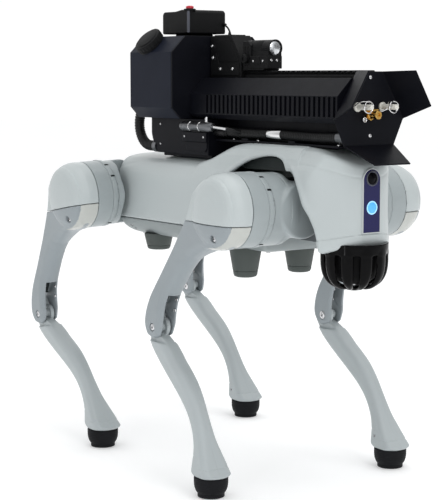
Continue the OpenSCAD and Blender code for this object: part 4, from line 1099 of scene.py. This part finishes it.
# inert fittings on the front plate
s = Shape()
for y in (-20, 20):
    s.lathe([(5.8, 0), (5.8, 1.4), (5.2, 2.2), (3.8, 2.6), (3.4, 3.4), (3.4, 25.5), (2.9, 27.2), (1.8, 27.9), (0, 28.1)], mxx(301, y, 130), 32, 0)
    ring = [(322 + 0.6 * math.sin(3 * a), y + 7 * math.cos(a), 130 + 7 * math.sin(a)) for a in np.linspace(0, 2 * math.pi, 41)]
    s.tube(ring, 0.8, 10, 1)
    s.tube([(322, y - 7.2, 130), (322, y, 130.4), (322, y + 7.2, 130)], 0.8, 8, 1)
    arcw = [(303 + 19 * t, y + 5.6 * math.cos(2.6 * t) * (1 if y > 0 else -1), 130 + 5.5 * math.sin(2.6 * t) + 1.5) for t in np.linspace(0, 1, 14)]
    s.tube(arcw, 0.7, 8, 1)
s.lathe([(5.6, 0), (5.6, 3.6), (4.6, 4.4), (4.6, 12), (5.2, 12.6), (5.2, 16.4), (4.4, 17), (2.4, 17), (2.4, 15.2), (0, 15.2)], mxx(301, 0, 120.5), 30, 2)
s.lathe([(7.4, 0), (7.4, 2.4), (0, 2.4)], mxx(301, 0, 120.5), 6, 2)
s.box(301, 305.6, -10, 10, 123.4, 127, mat=2)
s.tube([(303.6, -10 + 2.6 * math.cos(a), 114.6 + 2.6 * math.sin(a)) for a in np.linspace(0, 2 * math.pi, 25)], 0.7, 8, 1)
s.lathe([(1.2, 0), (1.2, 2.6)], mxx(300.8, -10, 114.6), 12, 1)
s.tube([(302, -10, 125.5), (308, -13.5, 124.5), (312, -16.5, 127), (314, -19.5, 129)], 0.75, 8, 1)
s.tube([(302, 10, 125.5), (308, 13.5, 124.5), (312, 16.5, 127), (314, 19.5, 129)], 0.75, 8, 1)
o = s.done("front_fittings", [M["ceramic"], M["chrome"], M["brass"], M["dark_hole"]], BODY)
place(o, "root", "ceramic", "tip_posts")

# hoses: corrugated, with plain ends and a silver joiner
s = Shape()
def hose(path_pts, r, pitch=3.4, amp=0.75, n=18, mat=0):
    P = np.array(path_pts, float)
    seg = np.r_[0, np.cumsum(np.linalg.norm(np.diff(P, axis=0), axis=1))]
    L_ = seg[-1]
    k = int(L_ / pitch * (6)) + 2
    t = np.linspace(0, L_, k)
    path = np.stack([np.interp(t, seg, P[:, a]) for a in range(3)], 1)
    rr = r - amp / 2 + amp * 0.5 * np.cos(2 * math.pi * t / pitch)
    s.tube(path, rr, n, mat)


for sg in (-1, 1):
    y = 36.0 * sg
    s.lathe([(7.2, 0), (7.2, 20), (6.7, 21), (6.7, 24), (7.1, 25), (7.1, 30)], mxx(29, y, 93), 36, 0)
    hose([(a, b, c) for a, b, c in zip(np.linspace(58, 148, 30), [y] * 30, 93 - 0.7 * np.sin(np.linspace(0, math.pi, 30)))], 6.6)
    hose([(a, b, c) for a, b, c in zip(np.linspace(176, 288, 40), [y] * 40, 93 - 1.0 * np.sin(np.linspace(0, math.pi, 40)))], 6.6)
    s.lathe([(7.0, 0), (7.3, 0.8), (7.3, 27.4), (7.0, 28.2)], mxx(147.8, y, 93), 36, 1)
    s.lathe([(7.0, 0), (7.0, 9), (6.6, 12.6)], mxx(286, y, 93), 36, 2)
arc = [(-125 - 30 * math.sin(a), -45, 98 + 30 * math.cos(a)) for a in np.linspace(0, math.pi, 50)]
hose(arc + [(-118, -45, 68), (-107, -45, 68)], 7.5, 3.8, 0.8, 20)
s.lathe([(8.6, 0), (8.6, 9), (7.9, 10)], axis_m((-1, 0, 0), (-101, -45, 68)), 30, 2)
o = s.done("hose_set", [M["hose"], M["chrome"], M["dull"]], BODY)
place(o, "root", "hose_black", "hoses")
# couplings by the block
s = Shape()
for sg in (-1, 1):
    y = 55.0 * sg
    s.lathe([(3.4, 0), (5.4, 1.0), (6.3, 4), (6.4, 8), (6.1, 8.8), (6.4, 9.6), (6.4, 23), (5.7, 24.6), (5.5, 25.4), (5.5, 44), (6.2, 46), (6.5, 48), (6.5, 68), (6.0, 72), (4.6, 74.6), (3.0, 75)], mxx(-29, y, 99), 32, 0)
    for q in (22.6, 45.6): s.lathe([(6.3, 0), (6.7, 0.4), (6.7, 1.2), (6.3, 1.6)], mxx(-29 + q, y, 99), 32, 2)
    s.lathe([(2.4, 0), (2.4, 7), (1.9, 7.6), (0, 7.6)], trans(26, 51.5 * sg, 104.5), 20, 2)
    s.tube([(44, y, 99.5), (60, y, 98.6), (78, y, 97.4)], 2.3, 16, 2)
    s.tube([(76, y, 97.5), (84, 50 * sg, 95.5), (88, 44 * sg, 93.5), (90, 40 * sg, 93)], 2.9, 14, 1)
    s.box(-24, 28, min(sg * 51, sg * 53), max(sg * 51, sg * 53), 92, 96, mat=1)
o = s.done("block_couplings", [M["dull"], M["hose"], M["chrome"]], BODY)
place(o, "root", "steel")

# screws of the payload
s = Shape()
for z in (95, 166): screw(s, mxx(301, 0, z), 2.5, 1.6)
for sg in (-1, 1):
    for px, pz in ((-11, 208), (-7.5, 192), (10, 177), (38.5, 177)): screw(s, axis_m((0, sg, 0), (px, sg * (16 if pz > 200 else 17.2), pz)), 2.6, 1.9)
    for px, pz in ((-88, 72), (-88, 100), (-22, 85), (24, 85)): screw(s, axis_m((0, sg, 0), (px, sg * (52 if px < -30 else 55.6), pz)), 1.6, 0.9)
for x, y in ((66, 34), (66, -34), (120, 34), (120, -34), (284, 34), (284, -34)): screw(s, trans(x, y, 83), 2.4, 1.4)
o = s.done("payload_screw_heads", [M["chrome"], M["dark_hole"]], BODY)
place(o, "root", "steel", "payload_screws")

# short lead from the pod to the rear block
s = Shape()
pts = [(-47 + 24 * math.sin(a), 28 - 4 * a, 222 + 17 * math.cos(a) - 1.5 * math.sin(2 * a)) for a in np.linspace(0, math.pi / 2, 26)]
s.tube(pts, 1.3, 12)
s.lathe([(2.6, 0), (2.4, 3), (1.7, 6)], axis_m((1, 0, 0), (-47.2, 28, 239)), 20)
s.lathe([(2.6, 0), (2.4, 3), (1.7, 6)], trans(pts[-1][0], pts[-1][1], 222), 20)
o = s.done("lead_skin", [M["hose"]], BODY)
place(o, "root", "hose_black", "pod_lead")

# ------------------------------------------------------------------ materials of the CAD pieces that stay
KEEP = {"chassis_frame": "chassis", "hip_roll_motors": "dull", "battery_pack": "battery", "control_board": "board"}
for i, L in enumerate(LEGS):
    KEEP["crank_" + L] = "dull"
    KEEP["push_rod_" + L] = "rod"
for n_, k_ in KEEP.items():
    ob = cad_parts[n_]
    ob.data.materials.clear()
    ob.data.materials.append(M[k_])
